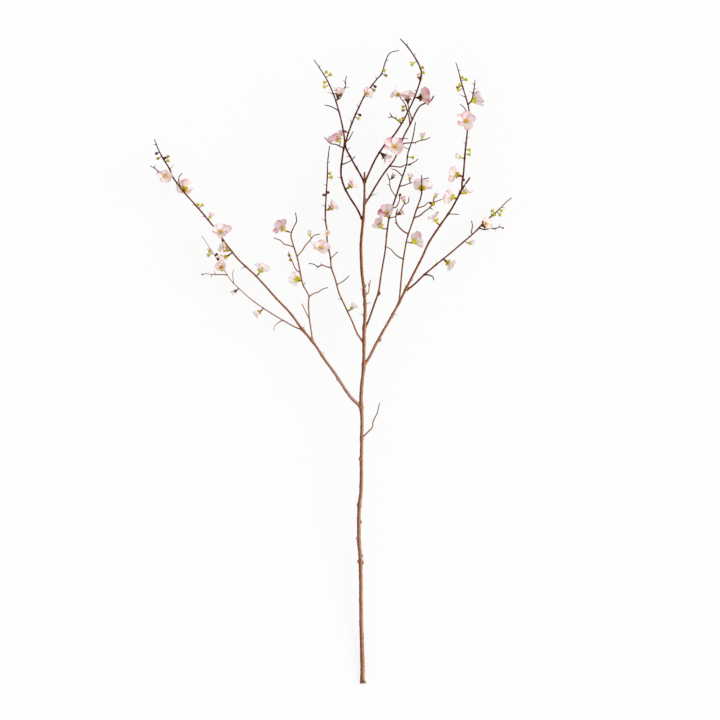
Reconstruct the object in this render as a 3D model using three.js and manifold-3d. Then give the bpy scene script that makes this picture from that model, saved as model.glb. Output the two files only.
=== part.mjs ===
// A cut branch of flowering quince that lies on a table, as if seen from above.
// Units are millimetres. +Y runs from the butt to the tips, +X to the right and +Z up off the table.
// The limbs, twigs, thorns, buds, stalks and calyx cups grow as one piece of wood.
// Each bloom is a node of its own, and so is the stamen tuft of each big open bloom.
import * as THREE from 'three';
import Module from 'manifold-3d';

const wasm = await Module();
wasm.setup();

const rad = THREE.MathUtils.degToRad;

// ---- driving dimensions ----
const CENTRE = [-63.02, 644.07];     // middle of the branch's plan, which becomes x = 0, y = 0
const TABLE = 0;                   // height of the surface it rests on
const FIRST_HEIGHT = 4.2;          // height of the trunk's axis at the butt
const TRUNK_RISE = 102;            // the trunk's top is this much higher than its butt
const LIMB_STEP = 42;              // spacing of the rings along a limb
const TWIG_STEP = 20;              // and along a twig
const TWIG_SIDES = 3;
const TWIG_TIP = 0.6;              // radius at a twig's tip
const TO_TABLE = -Infinity;        // marks a twig that reaches down to the table
const KNUCKLE_HEIGHT = 1.8;        // the resting knuckle's widest ring above the table
const KNUCKLE_SINK = 1.8;          // how far its point would pass below the table, before trimming
const KNUCKLE_RADIUS = 2.8;
const THORN_RADIUS = 0.95;
const THORN_TILTS = [0.5, -0.3, 0.2, -0.5];   // how steeply the thorns rise or fall, in turn
const BUD_RADIUS = 2.9;
const BUD_LIFT = 1.2;              // a bud's middle above the twig it grows from
const BUD_TIP = 4.0;               // from a bud's middle to its point
const BLADE = 0.7;                 // thickness of a petal
const SEAT_GAP = 0.3;              // clearance between a bloom's disc and its calyx cup
const CUP_LENGTH = 7.8;            // calyx cup of an open bloom
const CUP_TOP = 3.9;               // its radius at the rim
const CUP_FOOT = 1.8;              // its radius at the foot
const STALK = 1.1;                 // radius of a bloom's stalk
const SEPAL = 4.6;                 // how far a sepal stands out from the rim
const SEPAL_THICK = 1.6;           // from a sepal's back to the calyx's highest point
const PETALS = 5;
const CLAW_RADIUS = 2.2;           // a petal's narrow claw starts this far from the bloom's axis
const CLAW_TURN = rad(22);         // half of the angle that a claw takes
const OPEN_SPREAD = rad(40);       // blooms that spread wider than this count as open
const TUFT_RADIUS = 1.7;           // disc of a stamen tuft
const TUFT_STAMENS = 8;
const STAMEN_SHARE = 0.34;         // length of a stamen as a share of the petals' length
const KNOT_REACH = 1.6;            // half of a knot's length as a share of its radius
const TUFT_SHARE = 0.36;           // height of a stamen tuft as a share of the petals' length
const TIDY = 0.02;                 // slivers smaller than this are cleaned off a joined solid

// Stations along a petal: share of its length, lean as a share of the spread, share of half width.
const ROUND_PETAL = [
  { length: 0.42, lean: 0.75, width: 0.72 },
  { length: 0.38, lean: 1.05, width: 0.95 },
  { length: 0.2, lean: 0.9, width: 0 },
];
const PLAIN_PETAL = [{ length: 0.66, lean: 0.85, width: 1 }, { length: 0.34, lean: 1, width: 0 }];

// ---- limbs: route [x, y] from root to tip, girth [share of length, radius] ----
// top is the height of the tip, and bow lifts (or sags) the middle.
const LIMBS = {
  trunk: {
    top: FIRST_HEIGHT + TRUNK_RISE, bow: 0, sides: 6,
    girth: [[0, 4.7], [0.16, 3.7], [0.26, 3.95], [0.5, 3.35], [0.55, 3.7], [0.65, 3.2], [0.85, 3.0],
      [1, 1.8]],
    route: [[0, 0], [0, 42], [-2, 102], [-3, 164], [-4, 246], [-7, 286], [-6, 358], [-3, 382], [-2, 466],
      [-1, 522], [-3, 570], [-2, 588], [2, 628], [3, 666], [3, 692], [5, 742], [4, 778], [-1, 820],
      [-3, 866], [-2, 892], [3, 946], [4, 982], [4, 1022]],
  },
  leftLimb: {
    from: 'trunk', top: 64, bow: -8, sides: 5,
    girth: [[0, 3.3], [0.2, 2.6], [0.5, 1.8], [0.75, 1.6], [0.9, 1.4], [1, 0.6]],
    route: [[-2, 552], [-22, 570], [-39, 594], [-57, 622], [-77, 649], [-96, 678], [-120, 707], [-143, 738],
      [-173, 770], [-210, 811], [-246, 845], [-266, 869], [-299, 914], [-315, 934], [-335, 957],
      [-356, 981], [-380, 1013], [-385, 1026], [-405, 1060], [-416, 1087]],
  },
  rightLimb: {
    from: 'trunk', top: 96, bow: 0, sides: 5,
    girth: [[0, 3.1], [0.3, 2.4], [0.7, 2.1], [1, 1.6]],
    route: [[2, 634], [12, 648], [25, 674], [41, 703], [61, 738], [80, 774], [99, 812], [118, 849],
      [133, 881], [153, 912], [176, 945], [189, 968], [200, 989], [215, 1011]],
  },
  leftLow: {
    from: 'leftLimb', top: 34, bow: -12, sides: 4,
    girth: [[0, 1.4], [0.5, 1.0], [1, 0.6]],
    route: [[-119, 706], [-135, 712], [-160, 726], [-185, 741], [-221, 766], [-245, 787], [-265, 808],
      [-284, 839], [-297, 857], [-312, 880], [-322, 895]],
  },
  leftSpray: {
    from: 'leftLimb', top: 128, bow: 10, sides: 4,
    girth: [[0, 1.4], [0.4, 1.2], [0.65, 1.4], [1, 0.7]],
    route: [[-100, 686], [-103, 708], [-106, 728], [-108, 760], [-107, 773], [-119, 797], [-125, 824],
      [-131, 853], [-137, 872], [-143, 896], [-138, 911], [-132, 923], [-134, 940]],
  },
  innerLeft: {
    from: 'trunk', top: 60, bow: -6, sides: 4,
    girth: [[0, 1.8], [0.3, 1.4], [0.65, 1.4], [0.85, 1.0], [1, 0.7]],
    route: [[0, 684], [-10, 698], [-21, 724], [-35, 754], [-47, 780], [-54, 806], [-62, 830], [-64, 850],
      [-71, 888], [-71, 906], [-74, 925], [-73, 970], [-70, 1018], [-70, 1036], [-66, 1074]],
  },
  innerRight: {
    from: 'trunk', top: 60, bow: -5, sides: 4,
    girth: [[0, 2.1], [0.35, 1.5], [0.65, 1.6], [0.85, 1.1], [1, 0.7]],
    route: [[4, 708], [13, 727], [23, 756], [32, 782], [37, 816], [45, 862], [49, 902], [53, 929],
      [61, 955], [70, 982], [80, 1013], [88, 1037], [91, 1060], [100, 1088], [106, 1121]],
  },
  midRight: {
    from: 'rightLimb', top: 120, bow: 8, sides: 4,
    girth: [[0, 1.7], [0.5, 1.3], [0.8, 1.3], [1, 0.7]],
    route: [[73, 760], [76, 790], [79, 826], [84, 862], [90, 892], [100, 922], [107, 944], [118, 978],
      [118, 1015]],
  },
  rightTop: {
    from: 'rightLimb', top: 76, bow: 10, sides: 4,
    girth: [[0, 1.9], [0.4, 1.5], [0.75, 1.1], [1, 0.6]],
    route: [[199, 987], [199, 998], [202, 1020], [204, 1046], [207, 1078], [210, 1108], [213, 1145],
      [207, 1170], [198, 1200], [192, 1224], [187, 1240]],
  },
  rightLow: {
    from: 'rightLimb', top: 22, bow: -14, sides: 4,
    girth: [[0, 1.9], [0.5, 1.4], [0.8, 1.0], [1, 0.6]],
    route: [[88, 786], [102, 796], [124, 817], [143, 833], [170, 855], [202, 882], [226, 903], [243, 921],
      [269, 943], [289, 963], [298, 970]],
  },
  crownLeft: {
    from: 'trunk', top: 150, bow: 8, sides: 4,
    girth: [[0, 1.9], [0.35, 1.9], [0.6, 1.6], [0.8, 1.0], [1, 0.6]],
    route: [[-1, 928], [-10, 947], [-26, 972], [-38, 996], [-43, 1018], [-40, 1054], [-36, 1085],
      [-42, 1122], [-48, 1146], [-59, 1180], [-72, 1208], [-86, 1230], [-97, 1246]],
  },
  crownCross: {
    from: 'trunk', top: 90, bow: -10, sides: 4,
    girth: [[0, 1.9], [0.4, 1.6], [0.7, 1.2], [1, 0.6]],
    route: [[3, 1002], [-5, 1018], [-21, 1046], [-34, 1074], [-31, 1092], [-21, 1120], [-8, 1150],
      [4, 1174], [29, 1208], [38, 1218], [46, 1243], [55, 1260], [72, 1265]],
  },
  crownRight: {
    from: 'trunk', top: 170, bow: 5, sides: 4,
    girth: [[0, 1.9], [0.3, 1.8], [0.6, 1.5], [0.85, 1.3], [1, 0.8]],
    route: [[5, 1002], [15, 1025], [26, 1048], [46, 1078], [60, 1092], [79, 1120], [91, 1143],
      [101, 1164], [112, 1193], [118, 1217], [114, 1234], [103, 1254], [88, 1275], [76, 1288]],
  },
  crownFar: {
    from: 'trunk', top: 116, bow: -8, sides: 4,
    girth: [[0, 1.9], [0.5, 1.6], [1, 1.2]],
    route: [[4, 958], [13, 971], [26, 993], [44, 1021], [63, 1046], [72, 1066], [84, 1096], [95, 1117],
      [107, 1142], [115, 1154], [129, 1161], [136, 1164], [142, 1173]],
  },
};

// ---- twigs of each limb: [rise of the tip, radius at the root, route] ----
const TWIGS = {
  trunk: [
    [14, 1.5, [[-1, 490], [12, 503], [20, 512], [21, 522], [26, 533], [30, 541], [34, 560]]],
    [8, 1.0, [[4, 776], [11, 780], [13, 788], [14, 796], [16, 806]]],
    [3, 0.8, [[14, 793], [11, 799]]],
  ],
  leftLimb: [
    [-16, 1.2, [[-380, 1012], [-393, 1017], [-408, 1023], [-416, 1030], [-424, 1034]]],
    [10, 0.9, [[-361, 987], [-367, 1002], [-367, 1012], [-361, 1019]]],
  ],
  leftLow: [
    [TO_TABLE, 1.3, [[-271, 816], [-284, 817], [-302, 817], [-313, 819], [-320, 817]]],
    [9, 0.8, [[-257, 800], [-259, 810], [-260, 818], [-257, 827]]],
    [-4, 1.0, [[-159, 726], [-168, 721], [-175, 715], [-178, 705]]],
  ],
  leftSpray: [
    [-6, 0.8, [[-106, 728], [-112, 739], [-121, 758]]],
    [12, 1.1, [[-107, 773], [-95, 780], [-88, 782], [-81, 787], [-70, 791]]],
    [-14, 1.1, [[-124, 821], [-133, 827], [-139, 840], [-144, 851], [-148, 862]]],
    [12, 1.2, [[-131, 853], [-121, 864], [-114, 875], [-108, 882], [-103, 888], [-97, 895], [-85, 898]]],
    [-12, 1.1, [[-137, 872], [-146, 875], [-157, 878], [-164, 885], [-177, 890]]],
  ],
  innerLeft: [
    [-8, 0.9, [[-49, 797], [-38, 804], [-27, 814]]],
    [-16, 1.1, [[-62, 830], [-73, 833], [-81, 836], [-89, 833], [-99, 838], [-107, 839]]],
    [6, 0.8, [[-64, 849], [-55, 857], [-50, 862]]],
  ],
  innerRight: [
    [-10, 1.0, [[80, 1014], [73, 1020], [66, 1026], [58, 1028]]],
    [6, 1.0, [[74, 993], [85, 996], [96, 1000], [100, 1001]]],
    [-18, 0.8, [[67, 973], [59, 984], [55, 994], [54, 1006], [49, 1019]]],
    [6, 1.0, [[60, 950], [67, 952], [71, 958], [74, 966], [74, 973]]],
    [-6, 0.9, [[54, 930], [63, 932], [69, 936]]],
  ],
  rightLimb: [
    [6, 0.9, [[171, 937], [181, 938], [192, 937]]],
  ],
  midRight: [
    [10, 1.1, [[82, 848], [71, 853], [64, 859], [57, 867], [49, 872]]],
    [14, 1.6, [[91, 898], [80, 905], [69, 918], [67, 926], [67, 934], [68, 942], [71, 948]]],
    [8, 1.0, [[68, 938], [74, 943], [80, 952], [84, 958], [91, 961], [93, 972]]],
    [-14, 1.6, [[103, 930], [115, 935], [123, 942], [130, 947], [135, 950], [140, 947]]],
    [-6, 1.3, [[135, 950], [137, 954], [141, 958], [142, 964], [143, 973]]],
    [5, 0.9, [[142, 961], [150, 964], [158, 967]]],
    [12, 1.0, [[109, 949], [118, 952], [125, 955], [131, 961], [135, 960]]],
    [6, 0.7, [[118, 1007], [126, 1009], [133, 1010]]],
  ],
  rightTop: [
    [-18, 1.1, [[211, 1157], [216, 1162], [220, 1171], [222, 1183], [224, 1193], [225, 1206]]],
    [6, 0.9, [[213, 1138], [207, 1145], [203, 1151], [196, 1157]]],
  ],
  rightLow: [
    [4, 1.7, [[124, 817], [132, 816], [138, 814], [142, 810], [142, 806]]],
    [10, 0.9, [[219, 897], [218, 903], [220, 914], [218, 924]]],
    [TO_TABLE, 1.2, [[233, 910], [243, 907], [257, 909], [267, 909], [274, 912], [281, 910]]],
  ],
  crownLeft: [
    [-16, 1.0, [[-39, 1070], [-53, 1077], [-64, 1079], [-76, 1091]]],
    [8, 1.0, [[-42, 1037], [-33, 1040], [-23, 1045], [-15, 1053]]],
    [6, 0.9, [[-48, 1144], [-57, 1150], [-63, 1153], [-75, 1156]]],
    [-14, 1.0, [[-54, 1165], [-45, 1170], [-41, 1177], [-38, 1187], [-34, 1194], [-34, 1204], [-32, 1214]]],
  ],
  crownCross: [
    [-6, 1.0, [[-33, 1083], [-28, 1087], [-22, 1097], [-19, 1103]]],
  ],
  crownRight: [
    [8, 1.1, [[79, 1119], [72, 1124], [66, 1129], [59, 1132], [52, 1131]]],
    [3, 0.8, [[59, 1132], [55, 1140]]],
    [-12, 0.7, [[58, 1090], [71, 1089], [90, 1089]]],
  ],
  crownFar: [
    [8, 1.1, [[77, 1078], [89, 1080], [105, 1081], [115, 1085], [126, 1087], [135, 1091]]],
    [-5, 1.2, [[54, 1034], [65, 1033], [77, 1032], [85, 1036], [97, 1036]]],
    [4, 0.9, [[92, 1036], [98, 1039], [105, 1043], [111, 1048]]],
    [2, 1.2, [[95, 1117], [93, 1132], [89, 1146], [85, 1158], [76, 1170]]],
    [6, 1.2, [[99, 1127], [94, 1142], [91, 1157]]],
  ],
};

// ---- thorns and blunt spurs: [x, y] of the root, [x, y] of the point ----
const THORNS = {
  trunk: [[4, 757, 19, 762], [3, 735, -8, 739], [0, 780, -6, 791], [-6, 357, -13, 360]],
  leftLimb: [[-413, 1076, -420, 1077], [-384, 1028, -376, 1038], [-315, 933, -322, 933],
    [-235, 833, -246, 826], [-117, 709, -115, 716], [-79, 658, -75, 664],
    [-416, 1030, -414, 1038], [-409, 1022, -413, 1015]],
  rightLimb: [[194, 980, 192, 991], [88, 790, 84, 797], [61, 736, 70, 737]],
  leftLow: [[-305, 867, -313, 868], [-295, 818, -296, 826], [-302, 817, -303, 810]],
  leftSpray: [[-117, 796, -113, 803]],
  innerLeft: [[-74, 953, -83, 957], [-75, 924, -82, 930], [-43, 767, -52, 768],
    [-82, 835, -84, 842], [-88, 834, -92, 827]],
  innerRight: [[55, 995, 48, 998]],
  midRight: [[69, 919, 62, 921]],
  rightTop: [[204, 1171, 191, 1178], [205, 1078, 201, 1084], [221, 1180, 213, 1183],
    [223, 1187, 231, 1190], [224, 1196, 217, 1201]],
  rightLow: [[258, 936, 256, 946], [279, 951, 287, 949], [148, 838, 148, 845], [264, 909, 266, 902]],
  crownLeft: [[-85, 1231, -85, 1239], [-60, 1177, -72, 1183], [-43, 1010, -52, 1012],
    [-39, 1184, -47, 1192], [-36, 1189, -25, 1193], [-34, 1199, -40, 1208]],
  crownCross: [[-23, 1121, -26, 1129], [-8, 1152, -13, 1158], [47, 1244, 54, 1247],
    [-30, 1066, -22, 1073], [-27, 1053, -35, 1052], [-8, 1029, -10, 1038]],
  crownRight: [[88, 1275, 91, 1282], [46, 1078, 42, 1084], [66, 1129, 68, 1136]],
  crownFar: [[15, 974, 32, 980]],
};

// ---- knots and knuckles: x, y, radius ----
const KNOTS = {
  trunk: [[-10, 356, 3.6], [-3, 322, 4.6], [-9, 289, 4.4], [-4, 448, 4.0], [-3, 243, 5.0],
    [-1, 90, 4.2], [5, 794, 2.6], [6, 966, 2.8]],
  leftLimb: [[-79, 653, 3.0], [-49, 607, 3.4], [-152, 749, 2.6]],
  rightLimb: [[35, 686, 3.2], [49, 717, 3.2], [59, 733, 3.2], [98, 807, 2.7]],
  rightTop: [[203, 1006, 2.0]],
  innerRight: [[33, 779, 3.2]],
};

// ---- buds: x, y of the bud's middle ----
const BUDS = {
  leftLimb: [[-412, 1059], [-409, 1049], [-395, 1050], [-389, 1053], [-389, 1045], [-329, 957], [-320, 956],
    [-279, 884]],
  leftLow: [[-306, 863], [-308, 855], [-292, 857], [-289, 848]],
  leftSpray: [[-147, 855], [-144, 846]],
  innerLeft: [[-65, 1019], [-62, 1011], [-69, 981], [-77, 976]],
  innerRight: [[81, 1072], [101, 1051], [75, 976]],
  midRight: [[136, 960], [141, 958]],
  rightTop: [[200, 1211], [207, 1207], [190, 1191], [195, 1196], [192, 1186], [214, 1066], [214, 1057]],
  rightLow: [[260, 945], [263, 937], [278, 944], [275, 936]],
  crownLeft: [[-72, 1222], [-64, 1217], [-76, 1201], [-76, 1192]],
  crownCross: [[25, 1193], [23, 1186], [44, 1225], [47, 1215], [-5, 1136], [-8, 1129], [-35, 1103]],
  crownRight: [[100, 1239], [120, 1231], [122, 1221], [75, 1126], [81, 1129]],
  crownFar: [[81, 1152], [81, 1145], [65, 1061]],
};

// ---- blooms: x, y of the calyx foot, heading, lift, petal length, spread, own stamen tuft ----
// heading is the way it opens, seen from above (0 right, 90 towards the tips), and lift its angle
// up off the table, both in degrees. spread is the angle between its axis and its petals.
const TUFT = true;
const BLOOMS = {
  leftLimb: [[-395, 1017, -90, 75, 15, 66, TUFT], [-357, 984, 80, -60, 21, 64],
    [-284, 891, 95, 40, 21, 68, TUFT], [-268, 864, 150, 30, 15, 45], [-268, 855, 205, 0, 14, 42],
    [-207, 819, 65, 22, 18, 72], [-307, 928, 65, 15, 9, 28]],
  leftLow: [[-281, 824, 100, 45, 14, 60, TUFT], [-202, 745, 215, 15, 12, 50], [-251, 786, 215, 0, 9, 30]],
  leftSpray: [[-153, 904, 145, 22, 19, 66, TUFT], [-126, 805, 150, -50, 16, 68], [-105, 893, 100, 20, 8, 26]],
  innerLeft: [[-69, 946, 40, 15, 15, 52], [-82, 862, 95, 45, 18, 66, TUFT], [-25, 746, 50, 15, 11, 42],
    [-71, 896, 90, 70, 8, 45]],
  innerRight: [[52, 931, 118, 40, 20, 68, TUFT], [40, 909, 130, 28, 16, 60], [58, 1008, 60, 10, 7, 30],
    [94, 1005, 80, 10, 9, 35], [71, 936, 25, 0, 8, 28]],
  rightLimb: [[187, 969, 160, -25, 18, 64], [199, 978, 35, 15, 15, 45], [150, 919, 115, 10, 16, 55]],
  midRight: [[117, 984, 90, -50, 20, 72], [98, 880, 30, -28, 20, 66], [84, 959, 105, 10, 9, 30],
    [143, 967, 60, 20, 8, 30]],
  rightTop: [[217, 1161, 25, -30, 19, 68], [208, 1118, 100, 62, 20, 72, TUFT], [196, 1014, 165, -22, 20, 68],
    [199, 1050, 160, 15, 9, 32]],
  rightLow: [[239, 914, 30, 42, 16, 64], [165, 845, -35, -15, 17, 62], [209, 880, 0, 15, 11, 32]],
  crownLeft: [[-50, 1170, 78, 20, 16, 56], [-44, 1081, 128, 22, 21, 72, TUFT], [-29, 990, 45, 20, 14, 60]],
  crownCross: [[5, 1173, 45, 45, 13, 62, TUFT]],
  crownRight: [[110, 1170, 8, -28, 22, 72], [64, 1066, 85, 60, 22, 72, TUFT], [38, 1059, -42, 10, 16, 45],
    [114, 1207, 100, 20, 8, 26]],
  crownFar: [[76, 1173, 150, -10, 14, 54], [91, 1160, 98, 14, 19, 64], [119, 1086, 85, 20, 9, 30]],
};

// ---- small tools ----
const UP = new THREE.Vector3(0, 0, 1);
const RIGHT = new THREE.Vector3(1, 0, 0);
const along = (from, direction, distance) => from.clone().addScaledVector(direction, distance);

// A closed solid of these points and triangles, turned so that its faces look outwards.
function closedSolid(points, faces) {
  let volume = 0;
  for (const [a, b, c] of faces) {
    volume += points[a].dot(new THREE.Vector3().crossVectors(points[b], points[c]));
  }
  const outward = volume > 0 ? faces : faces.map(([a, b, c]) => [a, c, b]);
  const vertProperties = new Float32Array(points.flatMap((p) => [p.x, p.y, p.z]));
  const triVerts = new Uint32Array(outward.flat());
  return new wasm.Manifold(new wasm.Mesh({ numProp: 3, vertProperties, triVerts }));
}

// Two directions square to the way ahead, for placing a ring.
function crossDirections(ahead) {
  const reference = Math.abs(ahead.z) > 0.9 ? RIGHT : UP;
  const side = new THREE.Vector3().crossVectors(ahead, reference).normalize();
  return [side, new THREE.Vector3().crossVectors(ahead, side).normalize()];
}

function ring(centre, [side, over], radius, sides) {
  return Array.from({ length: sides }, (unused, k) => {
    const turn = (2 * Math.PI * k) / sides;
    return along(along(centre, side, radius * Math.cos(turn)), over, radius * Math.sin(turn));
  });
}

// A tapered branch through the points, closed at the root. bluntness is how far its tip bulges.
function branch(points, radii, sides, bluntness = radii[radii.length - 1]) {
  const last = points.length - 1;
  const vertices = [];
  let [side] = crossDirections(points[1].clone().sub(points[0]).normalize());
  points.forEach((point, i) => {
    const ahead = points[Math.min(i + 1, last)].clone().sub(points[Math.max(i - 1, 0)]).normalize();
    side = side.addScaledVector(ahead, -side.dot(ahead)).normalize();
    const over = new THREE.Vector3().crossVectors(ahead, side);
    vertices.push(...ring(point, [side, over], radii[i], sides));
  });
  const endways = points[last].clone().sub(points[last - 1]).normalize();
  const root = vertices.push(points[0].clone()) - 1;
  const tip = vertices.push(along(points[last], endways, bluntness)) - 1;
  const faces = [];
  for (let k = 0; k < sides; k += 1) {
    const next = (k + 1) % sides;
    faces.push([root, next, k]);
    for (let i = 0; i < last; i += 1) {
      const low = i * sides;
      faces.push([low + k, low + next, low + sides + k], [low + next, low + sides + next, low + sides + k]);
    }
    faces.push([last * sides + k, last * sides + next, tip]);
  }
  return closedSolid(vertices, faces);
}

// A spindle with a point at each end and one ring between them: buds, knots and knuckles.
function spindle(start, middle, end, radius, sides) {
  const ahead = end.clone().sub(start).normalize();
  const vertices = [start, end, ...ring(middle, crossDirections(ahead), radius, sides)];
  const faces = [];
  for (let k = 0; k < sides; k += 1) {
    const next = (k + 1) % sides;
    faces.push([0, 2 + next, 2 + k], [1, 2 + k, 2 + next]);
  }
  return closedSolid(vertices, faces);
}

// A three-sided spike, for a thorn.
function spike(root, tip, radius) {
  const ahead = tip.clone().sub(root).normalize();
  const vertices = [tip, ...ring(root, crossDirections(ahead), radius, 3)];
  return closedSolid(vertices, [[0, 1, 2], [0, 2, 3], [0, 3, 1], [1, 3, 2]]);
}

// ---- routes of the limbs and twigs ----
// Points at even steps along a smooth route, at heights from the root's to the top's.
function risingRoute(route, step, rootHeight, top, bow) {
  const corners = route.map(([x, y]) => new THREE.Vector3(x, y, 0));
  const curve = new THREE.CatmullRomCurve3(corners, false, 'centripetal');
  const steps = Math.max(2, Math.round(curve.getLength() / step));
  return curve.getSpacedPoints(steps).map((point, i) => {
    const share = i / steps;
    point.z = rootHeight + (top - rootHeight) * share + bow * 4 * share * (1 - share);
    return point;
  });
}

function girthAt(girth, share) {
  const next = Math.max(1, girth.findIndex(([at]) => at >= share));
  const [[from, thick], [to, thin]] = [girth[next - 1], girth[next]];
  return THREE.MathUtils.mapLinear(share, from, to, thick, thin);
}

// The point of a family's centrelines that is nearest to x, y in plan.
function nearest(lines, x, y) {
  let best = { distance: Infinity };
  for (const { points, radii } of lines) {
    for (let i = 0; i + 1 < points.length; i += 1) {
      const run = points[i + 1].clone().sub(points[i]);
      const reach = (x - points[i].x) * run.x + (y - points[i].y) * run.y;
      const share = THREE.MathUtils.clamp(reach / (run.x ** 2 + run.y ** 2), 0, 1);
      const point = along(points[i], run, share);
      const distance = Math.hypot(x - point.x, y - point.y);
      if (distance < best.distance) {
        best = { point, distance, radius: THREE.MathUtils.lerp(radii[i], radii[i + 1], share), run };
      }
    }
  }
  return best;
}

const families = {};
const wood = [];

function growLimb(name, { from, top, bow, sides, girth, route }) {
  const rootHeight = from ? nearest(families[from], ...route[0]).point.z : FIRST_HEIGHT;
  const points = risingRoute(route, LIMB_STEP, rootHeight, top, bow);
  const radii = points.map((point, i) => girthAt(girth, i / (points.length - 1)));
  wood.push(branch(points, radii, sides));
  families[name] = [{ points, radii }];
}

function growTwig(name, [rise, thick, route]) {
  const root = nearest(families[name], ...route[0]).point;
  const top = rise === TO_TABLE ? KNUCKLE_HEIGHT : root.z + rise;
  const points = risingRoute([[root.x, root.y], ...route.slice(1)], TWIG_STEP, root.z, top, 0);
  const radii = points.map((point, i) => THREE.MathUtils.lerp(thick, TWIG_TIP, i / (points.length - 1)));
  wood.push(branch(points, radii, TWIG_SIDES));
  families[name].push({ points, radii });
  if (rise === TO_TABLE) {
    wood.push(restingKnuckle(points[points.length - 1]));
  }
}

// A knuckle under the end of a low twig. The table cuts a small flat on it.
function restingKnuckle(tip) {
  const reach = KNUCKLE_HEIGHT + KNUCKLE_SINK;
  return spindle(along(tip, UP, -reach), tip, along(tip, UP, reach), KNUCKLE_RADIUS, 8);
}

// ---- what grows straight from the wood ----
function growThorn(name, [x, y, tipX, tipY], i) {
  const root = nearest(families[name], x, y).point;
  const tilt = THORN_TILTS[i % THORN_TILTS.length];
  const length = Math.hypot(tipX - x, tipY - y);
  wood.push(spike(root, new THREE.Vector3(tipX, tipY, root.z + length * tilt), THORN_RADIUS));
}

function growKnot(name, [x, y, radius]) {
  const { point, run } = nearest(families[name], x, y);
  const middle = new THREE.Vector3(x, y, point.z);
  const ahead = run.clone().normalize();
  const reach = KNOT_REACH * radius;
  wood.push(spindle(along(middle, ahead, -reach), middle, along(middle, ahead, reach), radius, 4));
}

function growBud(name, [x, y]) {
  const { point, distance } = nearest(families[name], x, y);
  const middle = new THREE.Vector3(x, y, point.z + BUD_LIFT);
  const ahead = middle.clone().sub(point).normalize();
  const tip = along(middle, ahead, BUD_TIP);
  const root = distance > 1 ? point : along(point, ahead, -1);
  wood.push(spindle(root, middle, tip, BUD_RADIUS, 3));
}

// ---- blooms ----
// A frame at the foot of a bloom: ahead is its axis, and out(turn) points away from the axis.
function bloomFrame(name, [x, y, heading, lift, reach, spread]) {
  const root = nearest(families[name], x, y);
  const level = Math.cos(rad(lift));
  const [east, north] = [level * Math.cos(rad(heading)), level * Math.sin(rad(heading))];
  const ahead = new THREE.Vector3(east, north, Math.sin(rad(lift)));
  const height = root.point.z + (0.8 * root.distance + 2) * Math.sin(rad(lift));
  const foot = root.distance > 2 ? new THREE.Vector3(x, y, height) : along(root.point, ahead, 2);
  const [side, over] = crossDirections(ahead);
  const out = (turn) => side.clone().multiplyScalar(Math.cos(turn)).addScaledVector(over, Math.sin(turn));
  const size = THREE.MathUtils.clamp(reach / 16, 0.62, 1);
  return { root: root.point, foot, ahead, out, reach, size, spread: rad(spread), cup: CUP_LENGTH * size };
}

// The point at this turn about a bloom's axis, this far out from it and this far up it.
function place(frame, turn, radius, height) {
  return along(along(frame.foot, frame.out(turn), radius), frame.ahead, height);
}

// Even turns all the way round, starting a share of one step later.
function turns(count, offset = 0) {
  return Array.from({ length: count }, (unused, k) => (2 * Math.PI * (k + offset)) / count);
}

// The stalk and the calyx cup in one, with five pointed sepals on its rim.
function growCalyx(frame) {
  const { root, foot, ahead, size, cup, spread } = frame;
  const axis = foot.clone().sub(root).normalize();
  const corners = turns(PETALS);
  const rings = [
    corners.map((turn) => along(root, frame.out(turn).projectOnPlane(axis).normalize(), STALK)),
    corners.map((turn) => place(frame, turn, CUP_FOOT * size, 0)),
    corners.map((turn) => place(frame, turn, CUP_TOP * size, cup - SEPAL_THICK)),
  ];
  const bend = Math.min(spread + rad(35), rad(110));
  const tips = turns(PETALS, 0.5).map((turn) => place(
    frame,
    turn,
    CUP_TOP * size + SEPAL * size * Math.sin(bend),
    cup - 0.5 * SEPAL_THICK + SEPAL * size * Math.cos(bend),
  ));
  const vertices = [...rings.flat(), ...tips, root, along(foot, ahead, cup)];
  const [rootPoint, topPoint] = [4 * PETALS, 4 * PETALS + 1];
  const faces = [];
  for (let k = 0; k < PETALS; k += 1) {
    const next = (k + 1) % PETALS;
    const [rim, rimNext] = [2 * PETALS + k, 2 * PETALS + next];
    const tip = 3 * PETALS + k;
    faces.push([rootPoint, next, k]);
    for (const low of [0, PETALS]) {
      const high = low + PETALS;
      faces.push([low + k, low + next, high + k], [low + next, high + next, high + k]);
    }
    faces.push([rim, rimNext, tip], [rimNext, topPoint, tip], [topPoint, rim, tip]);
  }
  wood.push(closedSolid(vertices, faces));
}

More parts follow.
